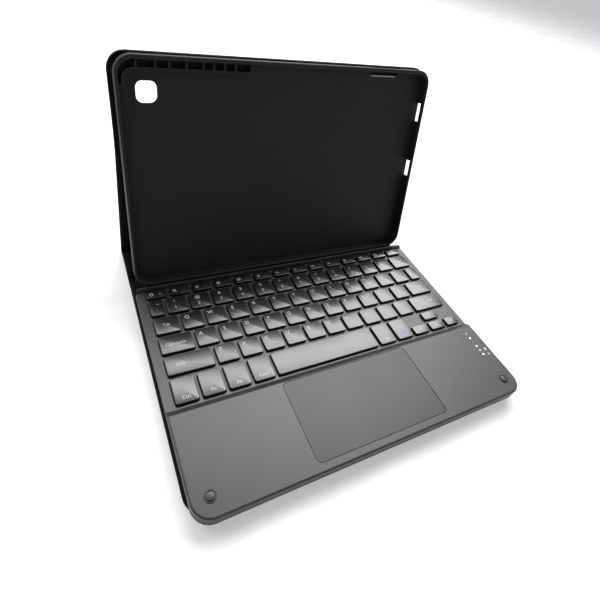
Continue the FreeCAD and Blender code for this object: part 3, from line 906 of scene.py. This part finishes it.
    def refine(self, line: np.ndarray, tangent: np.ndarray, along: np.ndarray, corners: tuple[float, float],
               rounded: tuple[float, float]) -> tuple[np.ndarray, np.ndarray, np.ndarray]:
        """Add places near finished ends, where the outline curves and the hem's groove runs.

        Args:
            line: points on the middle line.
            tangent: their unit tangents.
            along: their distances.
            corners: corner radii at the ends.
            rounded: edge radii at the ends.

        Returns:
            The three arrays with the new places, worked out between neighbours.
        """
        extra = [along]
        bend = 1 - np.cos(np.linspace(0, math.pi / 2, 9))
        for end, way, radius, edge in zip((along[0], along[-1]), (1, -1), corners, rounded):
            if edge:
                extra += [end + way * max(radius, edge) * bend, end + way * edge * bend[::2],
                          end + way * (self.hem + self.HEM_OFFSETS)]
        extra.append(along[0] + self.crease_roll * (1 - np.cos(np.linspace(0, math.pi, 9))))
        places = np.unique(np.round(np.concatenate(extra), 6))
        keep = np.concatenate([[True], np.diff(places) > 0.12 * MM])
        places = places[keep]
        new_line = np.column_stack([np.interp(places, along, line[:, k]) for k in (0, 1)])
        new_tangent = np.column_stack([np.interp(places, along, tangent[:, k]) for k in (0, 1)])
        return new_line, new_tangent / np.linalg.norm(new_tangent, axis=1, keepdims=True), places

    def lined(self, shell: Shell, along: np.ndarray, wide: np.ndarray, rounded: tuple[float, float],
              back: slice) -> Shell:
        """Mark the inner faces inside the hem as lining.

        Args:
            shell: the strip.
            along: the rings' places along it.
            wide: half its width at each ring.
            rounded: edge radii at the ends.
            back: the columns of faces on the inner side.

        Returns:
            The strip, with its marks set.
        """
        rows = len(along)
        x = shell.points[:, 0].reshape(rows, -1)[:-1]
        middle = np.abs(x + np.roll(x, -1, axis=1)) / 2
        away = self.end_distance((along[:-1] + along[1:]) / 2, along, rounded)
        narrow = np.minimum(wide[:-1], wide[1:]) - self.hem
        inside = (away >= self.hem)[:, None] & (middle < narrow[:, None])
        marks = np.zeros(x.shape, int)
        marks[:, back] = inside[:, back]
        shell.marks = marks.ravel().tolist() + [0, 0]
        return shell

    def build(self) -> None:
        """Make the three strips; the base strip rides on the base body, while the upper and spine strips stay
        where they are made.
        """
        top = self.upper_fold + self.up * self.upper_above_fold
        strut = self.upper_fold - self.lower_fold
        rise = strut / np.linalg.norm(strut)
        split = self.lower_fold + rise * self.split_above_foot
        upper = self.ribbon(CoverPath([tuple(top), tuple(self.upper_fold), tuple(split)], [self.upper_bend]),
                            [self.upper_above_fold], (self.corner, 0.0), (self.edge, 0.0))
        front = (self.spine_front + self.crease_roll * 0.6, self.half)
        lower = self.ribbon(CoverPath([tuple(split), tuple(self.lower_fold), front], [self.foot_bend]),
                            [self.split_above_foot - 0.6 * MM,
                             self.split_above_foot + self.lower_fold[0] - front[0]], (0.0, 0.0), (0.0, 0.0))
        start = (self.spine_front + self.crease_roll, self.half)
        gap = start[0] - self.base_rear
        base = self.ribbon(CoverPath([start, (self.base_front, self.half)], []),
                           [gap - 6.0 * MM - k * 1.5 * MM for k in range(4)], (0.0, self.corner),
                           (0.0, self.edge), roll=True)
        upper_piece = upper.thing("cover_upper_leather", (self.leather, self.lining))
        self.cut_camera_window(upper_piece)
        lower_piece = lower.thing("cover_spine_leather", (self.leather, self.lining))
        base_piece = base.thing("cover_base_leather", (self.leather, self.lining))
        for piece in (upper_piece, lower_piece, base_piece):
            self.keep_place(piece)
        near = 9.0 * MM
        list(self.upper_fold + self.up * near)
        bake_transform(upper_piece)
        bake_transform(lower_piece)
        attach(base_piece, "base")
        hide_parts("upper_skin", "upper_board", "upper_lining", "strut_skin", "strut_board",
                    "strut_lining")
        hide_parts("spine_skin", "spine_board", "spine_lining")
        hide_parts("base_skin", "base_board", "base_lining")
        log.info("cover strips made")

    def cut_camera_window(self, piece: bpy.types.Object) -> None:
        """Cut the camera window through the upper panel with a rounded prism.

        Args:
            piece: the upper strip, whose mesh is replaced.
        """
        window = CameraWindow(self.frame)
        cutter = window.prism(12.0 * MM, 1.0 * MM).thing("camera_cutter", (self.leather,))
        modifier = piece.modifiers.new("camera", "BOOLEAN")
        modifier.operation = "DIFFERENCE"
        modifier.solver = "EXACT"
        modifier.object = cutter
        depsgraph = bpy.context.evaluated_depsgraph_get()
        mesh = bpy.data.meshes.new_from_object(piece.evaluated_get(depsgraph))
        piece.modifiers.clear()
        piece.data = mesh
        bpy.data.objects.remove(cutter)

    @staticmethod
    def keep_place(piece: bpy.types.Object) -> None:
        """Store each point's place as built, so that the grain stays fixed to the leather wherever the piece
        is carried.

        Args:
            piece: a leather piece.
        """
        mesh = piece.data
        place = np.zeros(len(mesh.vertices) * 3, np.float32)
        mesh.vertices.foreach_get("co", place)
        attribute = mesh.attributes.new(Leather.PLACE, "FLOAT_VECTOR", "POINT")
        attribute.data.foreach_set("vector", place)


@dataclass
class CameraWindow:
    """The rounded window through the tray and the cover, for the tablet's rear camera."""

    frame: dict[str, Any]
    width: float = 13.6 * MM
    radius: float = 4.4 * MM
    from_left: float = 19.6 * MM
    from_top: float = 22.4 * MM
    tray_back: float = -9.6 * MM
    lip_depth: float = -13.85 * MM
    lip_middle: float = 1.15 * MM
    lip_half_width: float = 0.675 * MM
    lip_rise: float = 0.42 * MM

    def __post_init__(self) -> None:
        """Find the window's axes and centre from the tray's hinge and box."""
        tray = TrayAxes.read(self.frame)
        self.across = np.array([1.0, 0.0, 0.0])
        self.up, self.out = tray.up, tray.out
        self.centre = tray.foot + np.array([-tray.half_width + self.from_left, 0, 0]) \
            + tray.up * (tray.height - self.from_top)

    def ring(self, grow: float, depth: float, steps: int = 7) -> np.ndarray:
        """The window's outline.

        Args:
            grow: how much wider it is on every side.
            depth: its place along the way that the tray opens.
            steps: points in each corner.

        Returns:
            Points of shape (n, 3).
        """
        loop = rounded_loop(self.width / 2 + grow, self.width / 2 + grow, self.radius + grow, steps)
        return self.centre + loop[:, :1] * self.across + loop[:, 1:] * self.up + self.out * depth

    def prism(self, length: float, grow: float) -> Shell:
        """A prism with the window's outline through the cover, starting at the tray's back."""
        return swept(np.stack([self.ring(grow, self.tray_back), self.ring(grow, self.tray_back - length)]))

    def surround(self) -> Shell:
        """A rolled leather lip round the window: part of an ellipse carried round the outline.

        Returns:
            A closed ring.
        """
        turn = np.radians(np.linspace(-100.0, 100.0, 9))
        rings = [self.ring(self.lip_middle + self.lip_half_width * math.sin(a),
                           self.lip_depth - self.lip_rise * math.cos(a)) for a in turn]
        return swept(np.stack(rings, 1), closed=True)


@dataclass(frozen=True)
class TrayAxes:
    """The leaning tray's own directions and size."""

    foot: np.ndarray
    up: np.ndarray
    out: np.ndarray
    half_width: float
    height: float

    @staticmethod
    def read(frame: dict[str, Any]) -> "TrayAxes":
        """Work them out from the fold joint's range, which is a right angle plus the lean.


        Returns:
            The directions and the size.
        """
        joint = next(j for j in frame["joints"] if j["name"] == "tray_fold")
        lean = math.radians(joint["range_deg"][1] - 90.0)
        up = np.array([0.0, math.sin(lean), math.cos(lean)])
        out = np.array([0.0, -math.cos(lean), math.sin(lean)])
        mesh = frame["nodes"]["tray"].data
        points = np.zeros(len(mesh.vertices) * 3, np.float32)
        mesh.vertices.foreach_get("co", points)
        points = points.reshape(-1, 3).astype(float)
        along, depth = points @ up, points @ out
        foot = up * along.min() + out * depth.max()
        return TrayAxes(foot, up, out, float(points[:, 0].max()), float(along.max() - along.min()))


# ---- keys ---------------------------------------------------------------------------------
class Tint(Enum):
    """Ink of a legend, by its place in a legend piece's finishes."""

    WHITE = 0
    BLUE = 1
    FAINT = 2


class Sign(Enum):
    """Plain drawn signs, as strokes in a box that is 1 high: (points, closed)."""

    RING = ((arc((0, 0), 0.42, 0, 345, 24), True),)
    MAGNIFIER = ((arc((-0.1, 0.12), 0.3, 0, 345, 20), True), ([(0.12, -0.12), (0.45, -0.45)], False))
    DIMMER = ((arc((0, 0), 0.2, 0, 342, 16), True),) + tuple(
        ([(0.32 * math.cos(a), 0.32 * math.sin(a)), (0.42 * math.cos(a), 0.42 * math.sin(a))], False)
        for a in np.radians(np.arange(0, 360, 60)))
    BRIGHTER = ((arc((0, 0), 0.24, 0, 342, 16), True),) + tuple(
        ([(0.34 * math.cos(a), 0.34 * math.sin(a)), (0.52 * math.cos(a), 0.52 * math.sin(a))], False)
        for a in np.radians(np.arange(0, 360, 45)))
    PANEL = (([(-0.5, -0.3), (0.5, -0.3), (0.5, 0.35), (-0.5, 0.35)], True),
             ([(-0.25, -0.1), (0.25, -0.1)], False))
    BACK = (([(0.3, 0.35), (-0.2, 0.0), (0.3, -0.35)], True), ([(-0.35, 0.35), (-0.35, -0.35)], False))
    PLAY = (([(-0.25, 0.35), (0.35, 0.0), (-0.25, -0.35)], True),)
    NEXT = (([(-0.3, 0.35), (0.2, 0.0), (-0.3, -0.35)], True), ([(0.35, 0.35), (0.35, -0.35)], False))
    QUIET = (([(-0.45, 0.15), (-0.2, 0.15), (0.1, 0.4), (0.1, -0.4), (-0.2, -0.15), (-0.45, -0.15)], True),)
    SOFTER = QUIET + ((arc((0.1, 0), 0.25, -45, 45, 7), False),)
    LOUDER = SOFTER + ((arc((0.1, 0), 0.45, -50, 50, 9), False),)
    LOCK = (([(-0.3, -0.4), (0.3, -0.4), (0.3, 0.1), (-0.3, 0.1)], True),
            (arc((0, 0.1), 0.2, 0, 180, 9), False))
    LEFT = (([(0.4, 0), (-0.4, 0)], False), ([(-0.1, 0.3), (-0.42, 0), (-0.1, -0.3)], False))
    RIGHT = (([(-0.4, 0), (0.4, 0)], False), ([(0.1, 0.3), (0.42, 0), (0.1, -0.3)], False))
    UP = (([(0, -0.4), (0, 0.4)], False), ([(-0.3, 0.1), (0, 0.42), (0.3, 0.1)], False))
    DOWN = (([(0, 0.4), (0, -0.4)], False), ([(-0.3, -0.1), (0, -0.42), (0.3, -0.1)], False))
    LAMP = ((arc((0, 0.12), 0.28, -60, 240, 18), False), ([(-0.14, -0.2), (0.14, -0.2)], False),
            ([(-0.12, -0.34), (0.12, -0.34)], False))
    BATTERY = (([(-0.45, -0.22), (0.35, -0.22), (0.35, 0.22), (-0.45, 0.22)], True),
               ([(0.46, -0.08), (0.46, 0.08)], False))
    LINK = (([(-0.2, 0.2), (0.2, -0.2), (0, -0.42), (0, 0.42), (0.2, 0.2), (-0.2, -0.2)], False),)


@dataclass(frozen=True)
class Mark:
    """A legend or a sign on a key, placed from the key's rear left corner unless it is centred."""

    what: str | Sign
    height: float
    right: float
    down: float
    tint: Tint = Tint.WHITE
    from_centre: bool = False

    def shell(self, line: float = 0.14) -> Shell:
        """The mark about the origin.

        Args:
            line: a drawn sign's line width, as a share of its height.

        Returns:
            A thin solid in the mark's ink.
        """
        if isinstance(self.what, Sign):
            strokes = [stroke([(x * self.height, y * self.height) for x, y in path], line * self.height,
                              0.03 * MM, closed) for path, closed in self.what.value]
            return Shell.joined(strokes).marked(self.tint.value)
        return lettering(self.what, self.height).marked(self.tint.value)


def letter(text: str, small: str = "") -> list[Mark]:
    """A letter at the top left, with an optional small blue word under it.

    Args:
        text: the letter.
        small: the word, or nothing.

    Returns:
        The key's marks.
    """
    marks = [Mark(text, 4.3 * MM, 3.9 * MM, 4.0 * MM)]
    if small:
        marks.append(Mark(small, 2.0 * MM, 10.3 * MM, 10.6 * MM, Tint.BLUE))
    return marks


def pair(upper: str, lower: str) -> list[Mark]:
    """Two signs above one another, as on the number keys."""
    return [Mark(upper, 3.9 * MM, 6.0 * MM, 3.9 * MM), Mark(lower, 3.9 * MM, 6.0 * MM, 9.8 * MM)]


def word(text: str, right: float, down: float, height: float = 3.2 * MM) -> list[Mark]:
    """A word at a place in millimetres from the key's rear left corner."""
    return [Mark(text, height, right * MM, down * MM)]


def function(sign: Sign, text: str, bright: bool = False) -> list[Mark]:
    """A small sign on the left and a small blue label on the right."""
    return [Mark(sign, 3.0 * MM, 3.6 * MM, 3.8 * MM),
            Mark(text, 2.5 * MM, 10.2 * MM, 4.2 * MM, Tint.BLUE if bright else Tint.FAINT)]


class WideKey(Enum):
    """Which key of a row is not one pitch wide."""

    NONE = 0
    FIRST = 1
    LAST = 2


@dataclass(frozen=True)
class KeyGroup:
    """The keys of one frame node: what each one says, from left to right."""

    node: str
    legends: tuple[list[Mark], ...]
    wide: WideKey = WideKey.NONE


@dataclass
class Keyboard:
    """Caps and legends of every key group, standing in for the plain caps of the frame."""

    cap: Moulded
    inks: tuple[Ink, ...]
    pitch: float = 17.42 * MM
    gap: float = 2.4 * MM
    corner: float = 1.5 * MM
    edge: float = 0.4 * MM
    wall: float = 1.2 * MM
    taper: float = 0.12 * MM

    def groups(self) -> list[KeyGroup]:
        """Every key group with its legends.

        Returns:
            The groups, from the rear row to the front one.
        """
        signs = (Sign.MAGNIFIER, Sign.DIMMER, Sign.BRIGHTER, Sign.PANEL, Sign.LOCK, Sign.BACK, Sign.PLAY,
                 Sign.NEXT, Sign.QUIET, Sign.SOFTER, Sign.LOUDER, Sign.RING)
        top_row = [function(Sign.RING, "Esc", True)]
        top_row += [function(sign, f"F{number}") for number, sign in enumerate(signs, 1)]
        top_row += [word("Del", 7.0, 3.9, 2.9 * MM)]
        digits = [word("~", 6.0, 3.9, 3.9 * MM) + word("`", 5.0, 10.4, 3.9 * MM)]
        digits += [pair(upper, lower) for upper, lower in zip("!@#$%^&*()_+", "1234567890-=")]
        upper = [letter("Q", "Set 1"), letter("W", "Set 2"), letter("E", "Set 3")]
        upper += [letter(c) for c in "RTYUIOP[]\\"]
        lower = [letter(c, "Pair" if c == "C" else "") for c in "ZXCVBNM,./"]
        bottom = [word(text, 7.4, 14.6, 3.4 * MM) for text in ("Ctrl", "Fn", "Alt", "Cmd")]
        return [
            KeyGroup("function_keys", tuple(top_row)),
            KeyGroup("number_keys", tuple(digits), WideKey.FIRST),
            KeyGroup("backspace_key", ([Mark(Sign.LEFT, 3.6 * MM, 9.6 * MM, 7.0 * MM)],)),
            KeyGroup("tab_key", (word("Tab", 8.0, 7.0),)),
            KeyGroup("upper_letter_keys", tuple(upper), WideKey.LAST),
            KeyGroup("caps_key", (word("Caps Lock", 10.5, 7.2),)),
            KeyGroup("home_letter_keys", tuple(letter(c) for c in "ASDFGHJKL;'")),
            KeyGroup("enter_key", (word("Enter", 12.0, 6.6),)),
            KeyGroup("left_shift_key", (word("Shift", 9.5, 7.4, 3.6 * MM),)),
            KeyGroup("lower_letter_keys", tuple(lower)),
            KeyGroup("right_shift_key", (word("Shift", 20.0, 6.6, 3.4 * MM),)),
            KeyGroup("modifier_keys", tuple(bottom)),
            KeyGroup("space_bar", ([],)),
            KeyGroup("right_modifier_keys", (word("Alt", 7.6, 14.4, 3.2 * MM),
                                             [Mark(Sign.LAMP, 4.2 * MM, 7.6 * MM, 13.2 * MM, Tint.BLUE)])),
        ] + [KeyGroup(f"{sign.name.lower()}_arrow_key", ([Mark(sign, 3.0 * MM, 0, 0, from_centre=True)],))
             for sign in (Sign.LEFT, Sign.DOWN, Sign.UP, Sign.RIGHT)]

    def spans(self, group: KeyGroup) -> list[tuple[float, float]]:
        """Left and right side of each key in a group.

        Args:
            group: the keys.

        Returns:
            Pairs of X, from left to right.
        """
        low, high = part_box(group.node)
        count = len(group.legends)
        step = (high.x - low.x + self.gap) / count if group.wide is WideKey.NONE else self.pitch
        start = high.x + self.gap - count * step if group.wide is WideKey.FIRST else low.x
        sides = [[start + k * step, start + (k + 1) * step - self.gap] for k in range(count)]
        sides[0][0], sides[-1][1] = low.x, high.x
        return [(left, right) for left, right in sides]

    def cap_shell(self, x0: float, x1: float, y0: float, y1: float, z0: float, z1: float) -> Shell:
        """One hollow cap.

        Rings run from the middle of the top over a quarter-circle edge, down the slightly tapered
        wall, under its rim and up the inside to the ceiling.

        Args:
            x0: left side.
            x1: right side.
            y0: front side.
            y1: rear side.
            z0: the rim's height.
            z1: the top's height.

        Returns:
            The cap.
        """
        half_x, half_y = (x1 - x0) / 2, (y1 - y0) / 2
        rings = []
        for turn in np.radians(np.linspace(90, 0, 5)):
            inset = self.taper + self.edge * (1 - math.cos(turn))
            rings.append((inset, z1 - self.edge * (1 - math.sin(turn))))
        rings += [(0.0, z0), (self.wall * 0.5, z0), (self.wall, z0 + 0.2 * MM), (self.wall, z1 - self.wall)]
        loops = [lifted(rounded_loop(half_x - inset, half_y - inset, max(self.corner - inset, 0.35 * MM)), z)
                 for inset, z in rings]
        return swept(np.stack(loops)).moved((x0 + x1) / 2, (y0 + y1) / 2, 0.0)

    def build(self) -> None:
        """Make a cap piece and a legend piece for every group and let both ride on its body."""
        for group in self.groups():
            low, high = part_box(group.node)
            caps, legends = [], []
            for (left, right), marks in zip(self.spans(group), group.legends):
                caps.append(self.cap_shell(left, right, low.y, high.y, low.z, high.z))
                for mark in marks:
                    x = (left + right) / 2 if mark.from_centre else left + mark.right
                    y = (low.y + high.y) / 2 if mark.from_centre else high.y - mark.down
                    legends.append(mark.shell().moved(x, y, high.z))
            body = group.node + "_body"
            piece = Shell.joined(caps).thing(group.node + "_caps", (self.cap,), crease=50.0)
            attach(piece, body)
            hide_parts(group.node)
            if legends:
                print_piece = Shell.joined(legends).thing(group.node + "_legends", self.inks)
                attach(print_piece, body)
        log.info("keys made")


# ---- small parts on the housing -----------------------------------------------------------
@dataclass
class DockLedge:
    """The leather-covered wedge behind the keyboard that the tray's lower edge stands on."""

    leather: Leather
    lean: float
    radius: float = 1.1 * MM

    def build(self) -> None:
        """A rounded wedge along X, in place of the frame's plain one.

        Its section has a quarter circle at each of its four corners, small ones at the bottom. The
        ring at half - r (1 - sin t) along X is drawn in towards the section's middle by
        r (1 - cos t), which rounds both ends.
        """
        low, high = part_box("dock_ledge")
        drop = (high.y - low.y) * math.tan(self.lean)
        r, foot = self.radius, 0.4 * self.radius
        section = np.array(arc((high.y - foot, low.z + foot), foot, -90.0, 0.0, 6)
                           + arc((high.y - r, high.z - drop - r), r, 0.0, 90.0, 6)
                           + arc((low.y + r, high.z - r), r, 90.0, 180.0, 6)
                           + arc((low.y + foot, low.z + foot), foot, 180.0, 270.0, 6))
        middle = np.array([section[:, 0].mean(), low.z])
        reach = np.abs(section - middle).max(0)
        rings = []
        for turn in np.radians(np.concatenate([np.linspace(-84, 0, 7), np.linspace(0, 84, 7)])):
            near = turn < 0
            x = (low.x + r * (1 + math.sin(turn))) if near else high.x - r * (1 - math.sin(turn))
            shrink = 1 - r * (1 - math.cos(turn)) / reach
            ring = middle + (section - middle) * shrink
            rings.append(np.column_stack([np.full(len(ring), x), ring]))
        piece = swept(np.stack(rings)).thing("dock_ledge_leather", (self.leather,))
        Cover.keep_place(piece)
        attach(piece, "base")
        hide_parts("dock_ledge")
        log.info("dock ledge made")


@dataclass
class HousingTrim:
    """Bumpers, indicator lights and their printed signs."""

    rubber: Moulded
    light: Ink
    white: Ink
    ring: float = 0.5 * MM

    def bumper(self, node: str) -> None:
        """A shallow dome inside a grooved ring, turned about its own axis.

        The dome is the top of an ellipse: r = a cos t, z = base + b sin t.

        Args:
            node: the frame's plain bumper, which it replaces.
        """
        low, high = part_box(node)
        radius = (high.x - low.x) / 2
        inner = radius - 2 * self.ring
        base = high.z - 0.45 * MM
        dome = [(radius - 0.05 * MM, low.z), (radius - 0.05 * MM, high.z - 0.75 * MM),
                (radius - 0.25 * MM, high.z - 0.5 * MM), (radius - self.ring, high.z - 0.5 * MM),
                (radius - 1.2 * self.ring, high.z - 0.95 * MM), (inner, high.z - 0.95 * MM)]
        for turn in np.radians(np.linspace(0, 86, 9)):
            dome.append((inner * math.cos(turn), base + (high.z - base) * math.sin(turn)))
        piece = lathed(dome).moved((low.x + high.x) / 2, (low.y + high.y) / 2, 0).thing(
            node + "_dome", (self.rubber,))
        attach(piece, "keyboard")
        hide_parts(node)

    def indicators(self) -> None:
        """Bright light pipe tops in a row, with a small printed sign behind each."""
        low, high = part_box("indicator_lenses")
        x = (low.x + high.x) / 2
        radius = (high.x - low.x) / 2
        places = np.linspace(high.y - radius, low.y + radius, 3)
        dots = [lathed([(radius * 0.9, high.z - 0.4 * MM), (radius * 0.9, high.z - 0.05 * MM),
                        (radius * 0.6, high.z + 0.06 * MM), (radius * 0.15, high.z + 0.09 * MM)], 20)
                .moved(x, y, 0) for y in places]
        lights = Shell.joined(dots).thing("indicator_lights", (self.light,))
        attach(lights, "keyboard")
        signs = [(Sign.UP, x, places[0] + 4.4 * MM), (Sign.LINK, x, places[1] + 3.9 * MM),
                 (Sign.BATTERY, x, places[2] + 3.9 * MM), (Sign.RING, x + 5.4 * MM, places[1] - 4.4 * MM),
                 (Sign.PLAY, x + 5.4 * MM, places[1] - 9.0 * MM)]
        marks = [Mark(sign, 2.2 * MM, 0, 0).shell(0.3).moved(px, py, high.z) for sign, px, py in signs]
        # These signs use the white legend ink, so they carry its painted glow too.
        printed = Shell.joined(marks).thing("indicator_signs", (self.white,))
        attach(printed, "keyboard")

    def build(self) -> None:
        """Make all the small parts."""
        self.bumper("left_bumper")
        self.bumper("right_bumper")
        self.indicators()
        log.info("housing trim made")


# ---- studio -------------------------------------------------------------------------------
@dataclass
class Studio:
    """Plain pale floor, soft light from behind on the right, and the camera."""

    eye: tuple[float, float, float] = (-0.1552, -0.1549, 0.2619)
    forward: tuple[float, float, float] = (0.43439, 0.61857, -0.65474)
    up: tuple[float, float, float] = (0.14528, 0.66926, 0.72868)
    lens: float = 25.49
    shift: tuple[float, float] = (0.01176, -0.07193)

    def camera(self) -> None:
        """A camera whose axes come from its forward and up directions."""
        data = bpy.data.cameras.new("camera")
        data.sensor_width = 36.0
        data.lens = self.lens
        data.shift_x, data.shift_y = self.shift
        data.clip_start, data.clip_end = 0.01, 50.0
        made = bpy.data.objects.new("camera", data)
        bpy.context.scene.collection.objects.link(made)
        back = -Vector(self.forward).normalized()
        right = Vector(self.up).cross(back).normalized()
        true_up = back.cross(right)
        matrix = made.matrix_world.copy()
        for index, axis in enumerate((right, true_up, back, Vector(self.eye))):
            for row in range(3):
                matrix[row][index] = axis[row]
        made.matrix_world = matrix
        bpy.context.scene.camera = made

    def softbox(self, name: str, place: Vector, aim: Vector, size: tuple[float, float], power: float) -> None:
        """A rectangular light at a place, facing a point.

        Args:
            name: the light's name.
            place: where it stands.
            aim: the point it faces.
            size: its width and height.
            power: in watts.
        """
        data = bpy.data.lights.new(name, "AREA")
        data.shape = "RECTANGLE"
        data.size, data.size_y = size
        data.energy = power
        made = bpy.data.objects.new(name, data)
        bpy.context.scene.collection.objects.link(made)
        made.location = place
        made.rotation_mode = "QUATERNION"
        made.rotation_quaternion = (aim - place).to_track_quat("-Z", "Y")

    def floor(self) -> None:
        """A wide pale floor with faint unevenness."""
        finish = Board("studio_floor_pale", (0.45, 0.45, 0.45), 0.6, fibre=60.0 * MM, glow=0.85)
        side = 12.0
        loop = rounded_loop(side, side, 1.0)
        made = swept(np.stack([lifted(loop, -0.02), lifted(loop, -0.0002)])).thing("studio_floor", (finish,))

    def build(self) -> None:
        """Set up the whole studio."""
        self.floor()
        self.camera()
        centre = Vector((0.0, 0.0, 0.02))
        self.softbox("key_light", Vector((0.554, 0.971, 1.418)), centre, (1.95, 1.17), 74.0)
        self.softbox("rear_left_light", Vector((-0.94, 0.79, 1.03)), centre, (0.8, 0.8), 12.0)
        world = bpy.data.worlds.new("studio_air")
        bpy.context.scene.world = world
        world.use_nodes = True
        graph = Graph(world.node_tree)
        air = graph.node("ShaderNodeBackground", None, {0: (0.94, 0.95, 1.0), 1: 0.35})
        graph.node("ShaderNodeOutputWorld", None, {0: Signal(graph, air.outputs[0])})
        bpy.context.scene.view_settings.view_transform = "Standard"
        log.info("studio made")


# ---- carried-over parts of the frame ------------------------------------------------------
@dataclass
class CarriedParts:
    """Finishes for the frame's own parts that stay."""

    frame: dict[str, Any]
    finishes: dict[str, Finish]

    def build(self) -> None:
        """Give every node the finish of its material slot, or one of its own."""
        slots = {s["node"]: s["material_slot"] for s in self.frame["record"]["subparts"]}
        for name, node in self.frame["nodes"].items():
            finish = self.finishes.get(name) or self.finishes[slots[name]]
            node.data.materials.clear()
            node.data.materials.append(finish.material())
        log.info("frame parts dressed")


def main() -> None:
    """Build the case piece by piece round the frame."""
    logging.basicConfig(level=logging.INFO, format="%(name)s %(message)s")
    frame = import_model()
    black = (0.0150, 0.0140, 0.0165)
    leather = Leather("cover_leather", (0.0032, 0.0031, 0.0033), 0.6)
    lining = Microfibre("cover_lining", (0.0035, 0.0035, 0.0037), 0.85)
    caps = Moulded("keycap_plastic", (0.007, 0.007, 0.0072), 0.25, grain=0.3 * MM, depth=0.005 * MM,
                   specular=0.62)
    housing = Moulded("shell_moulding", (0.005, 0.005, 0.005), 0.5, specular=0.22)
    rubber = Moulded("bumper_moulding", (0.02, 0.019, 0.02), 0.45, grain=0.5 * MM, specular=0.45)
    low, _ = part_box("left_shift_key")
    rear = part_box("function_keys")[1]
    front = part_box("space_bar")[0]
    margin = 0.6 * MM
    deck = DeckPlastic("deck_satin", (0.020, 0.020, 0.0205), 0.43, depth=0.01 * MM, specular=0.50,
                       field_low=(low.x - margin, front.y - 1.6 * MM),
                       field_high=(-low.x + margin, rear.y + margin))
    axes = TrayAxes.read(frame)
    tray = TrayPlastic("tray_plastic", black, 0.6, grain=0.4 * MM, specular=0.25,
                       foot=tuple(axes.foot), up=tuple(axes.up),
                       out=tuple(axes.out))
    steel = Metal("bright_steel", (0.56, 0.56, 0.57), 0.32)
    film = Board("clear_film", (0.72, 0.72, 0.70), 0.4, fibre=5.0 * MM)
    finishes: dict[str, Finish] = {
        "leather": housing, "lining": lining, "greyboard": Board("grey_board", (0.34, 0.32, 0.29), 0.8),
        "magnet": Metal("nickel_plate", (0.52, 0.52, 0.53), 0.25), "adhesive": film, "soft_tray": tray,
        "deck_plastic": deck, "shell_plastic": housing, "keycap": caps, "steel": steel, "film": film,
        "dome_rubber": Moulded("dome_silicone", (0.55, 0.55, 0.53), 0.5),
        "touchpad_plastic": Moulded("touchpad_satin", (0.016, 0.016, 0.0164), 0.42, depth=0.004 * MM,
                                    specular=0.40),
        "circuit_board": Board("circuit_laminate", (0.02, 0.12, 0.05), 0.4, fibre=1.5 * MM),
        "bumper_rubber": rubber, "lens": Ink("light_pipe", (0.8, 0.85, 0.9), 0.2),
        "lamp": Ink("lamp_cap", (0.9, 0.9, 0.8), 0.4),
        "battery_foil": Metal("battery_pouch", (0.7, 0.7, 0.7), 0.4),
        "switch_plastic": Moulded("switch_moulding", (0.02, 0.02, 0.02), 0.45),
    }
    # The white and blue legend inks glow a little: painted light that keeps the print bright in the tray's
    # shade.
    white = Ink("legend_white", (0.42, 0.42, 0.42), 0.5, glow=0.14)
    blue = Ink("legend_blue", (0.10, 0.10, 0.55), 0.5, glow=0.15)
    faint = Ink("legend_faint", (0.035, 0.035, 0.09), 0.5)
    CarriedParts(frame, finishes).build()
    Cover(frame, leather, lining).build()
    surround = CameraWindow(frame).surround().thing("camera_window_lip", (leather,))
    Cover.keep_place(surround)
    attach(surround, "tray_back")
    DockLedge(leather, math.atan2(axes.up[1], axes.up[2])).build()
    Keyboard(caps, (white, blue, faint)).build()
    HousingTrim(rubber, Ink("indicator_glow", (0.7, 0.72, 0.75), 0.3, glow=0.55), white).build()
    Studio().build()


if __name__ == "__main__":
    main()
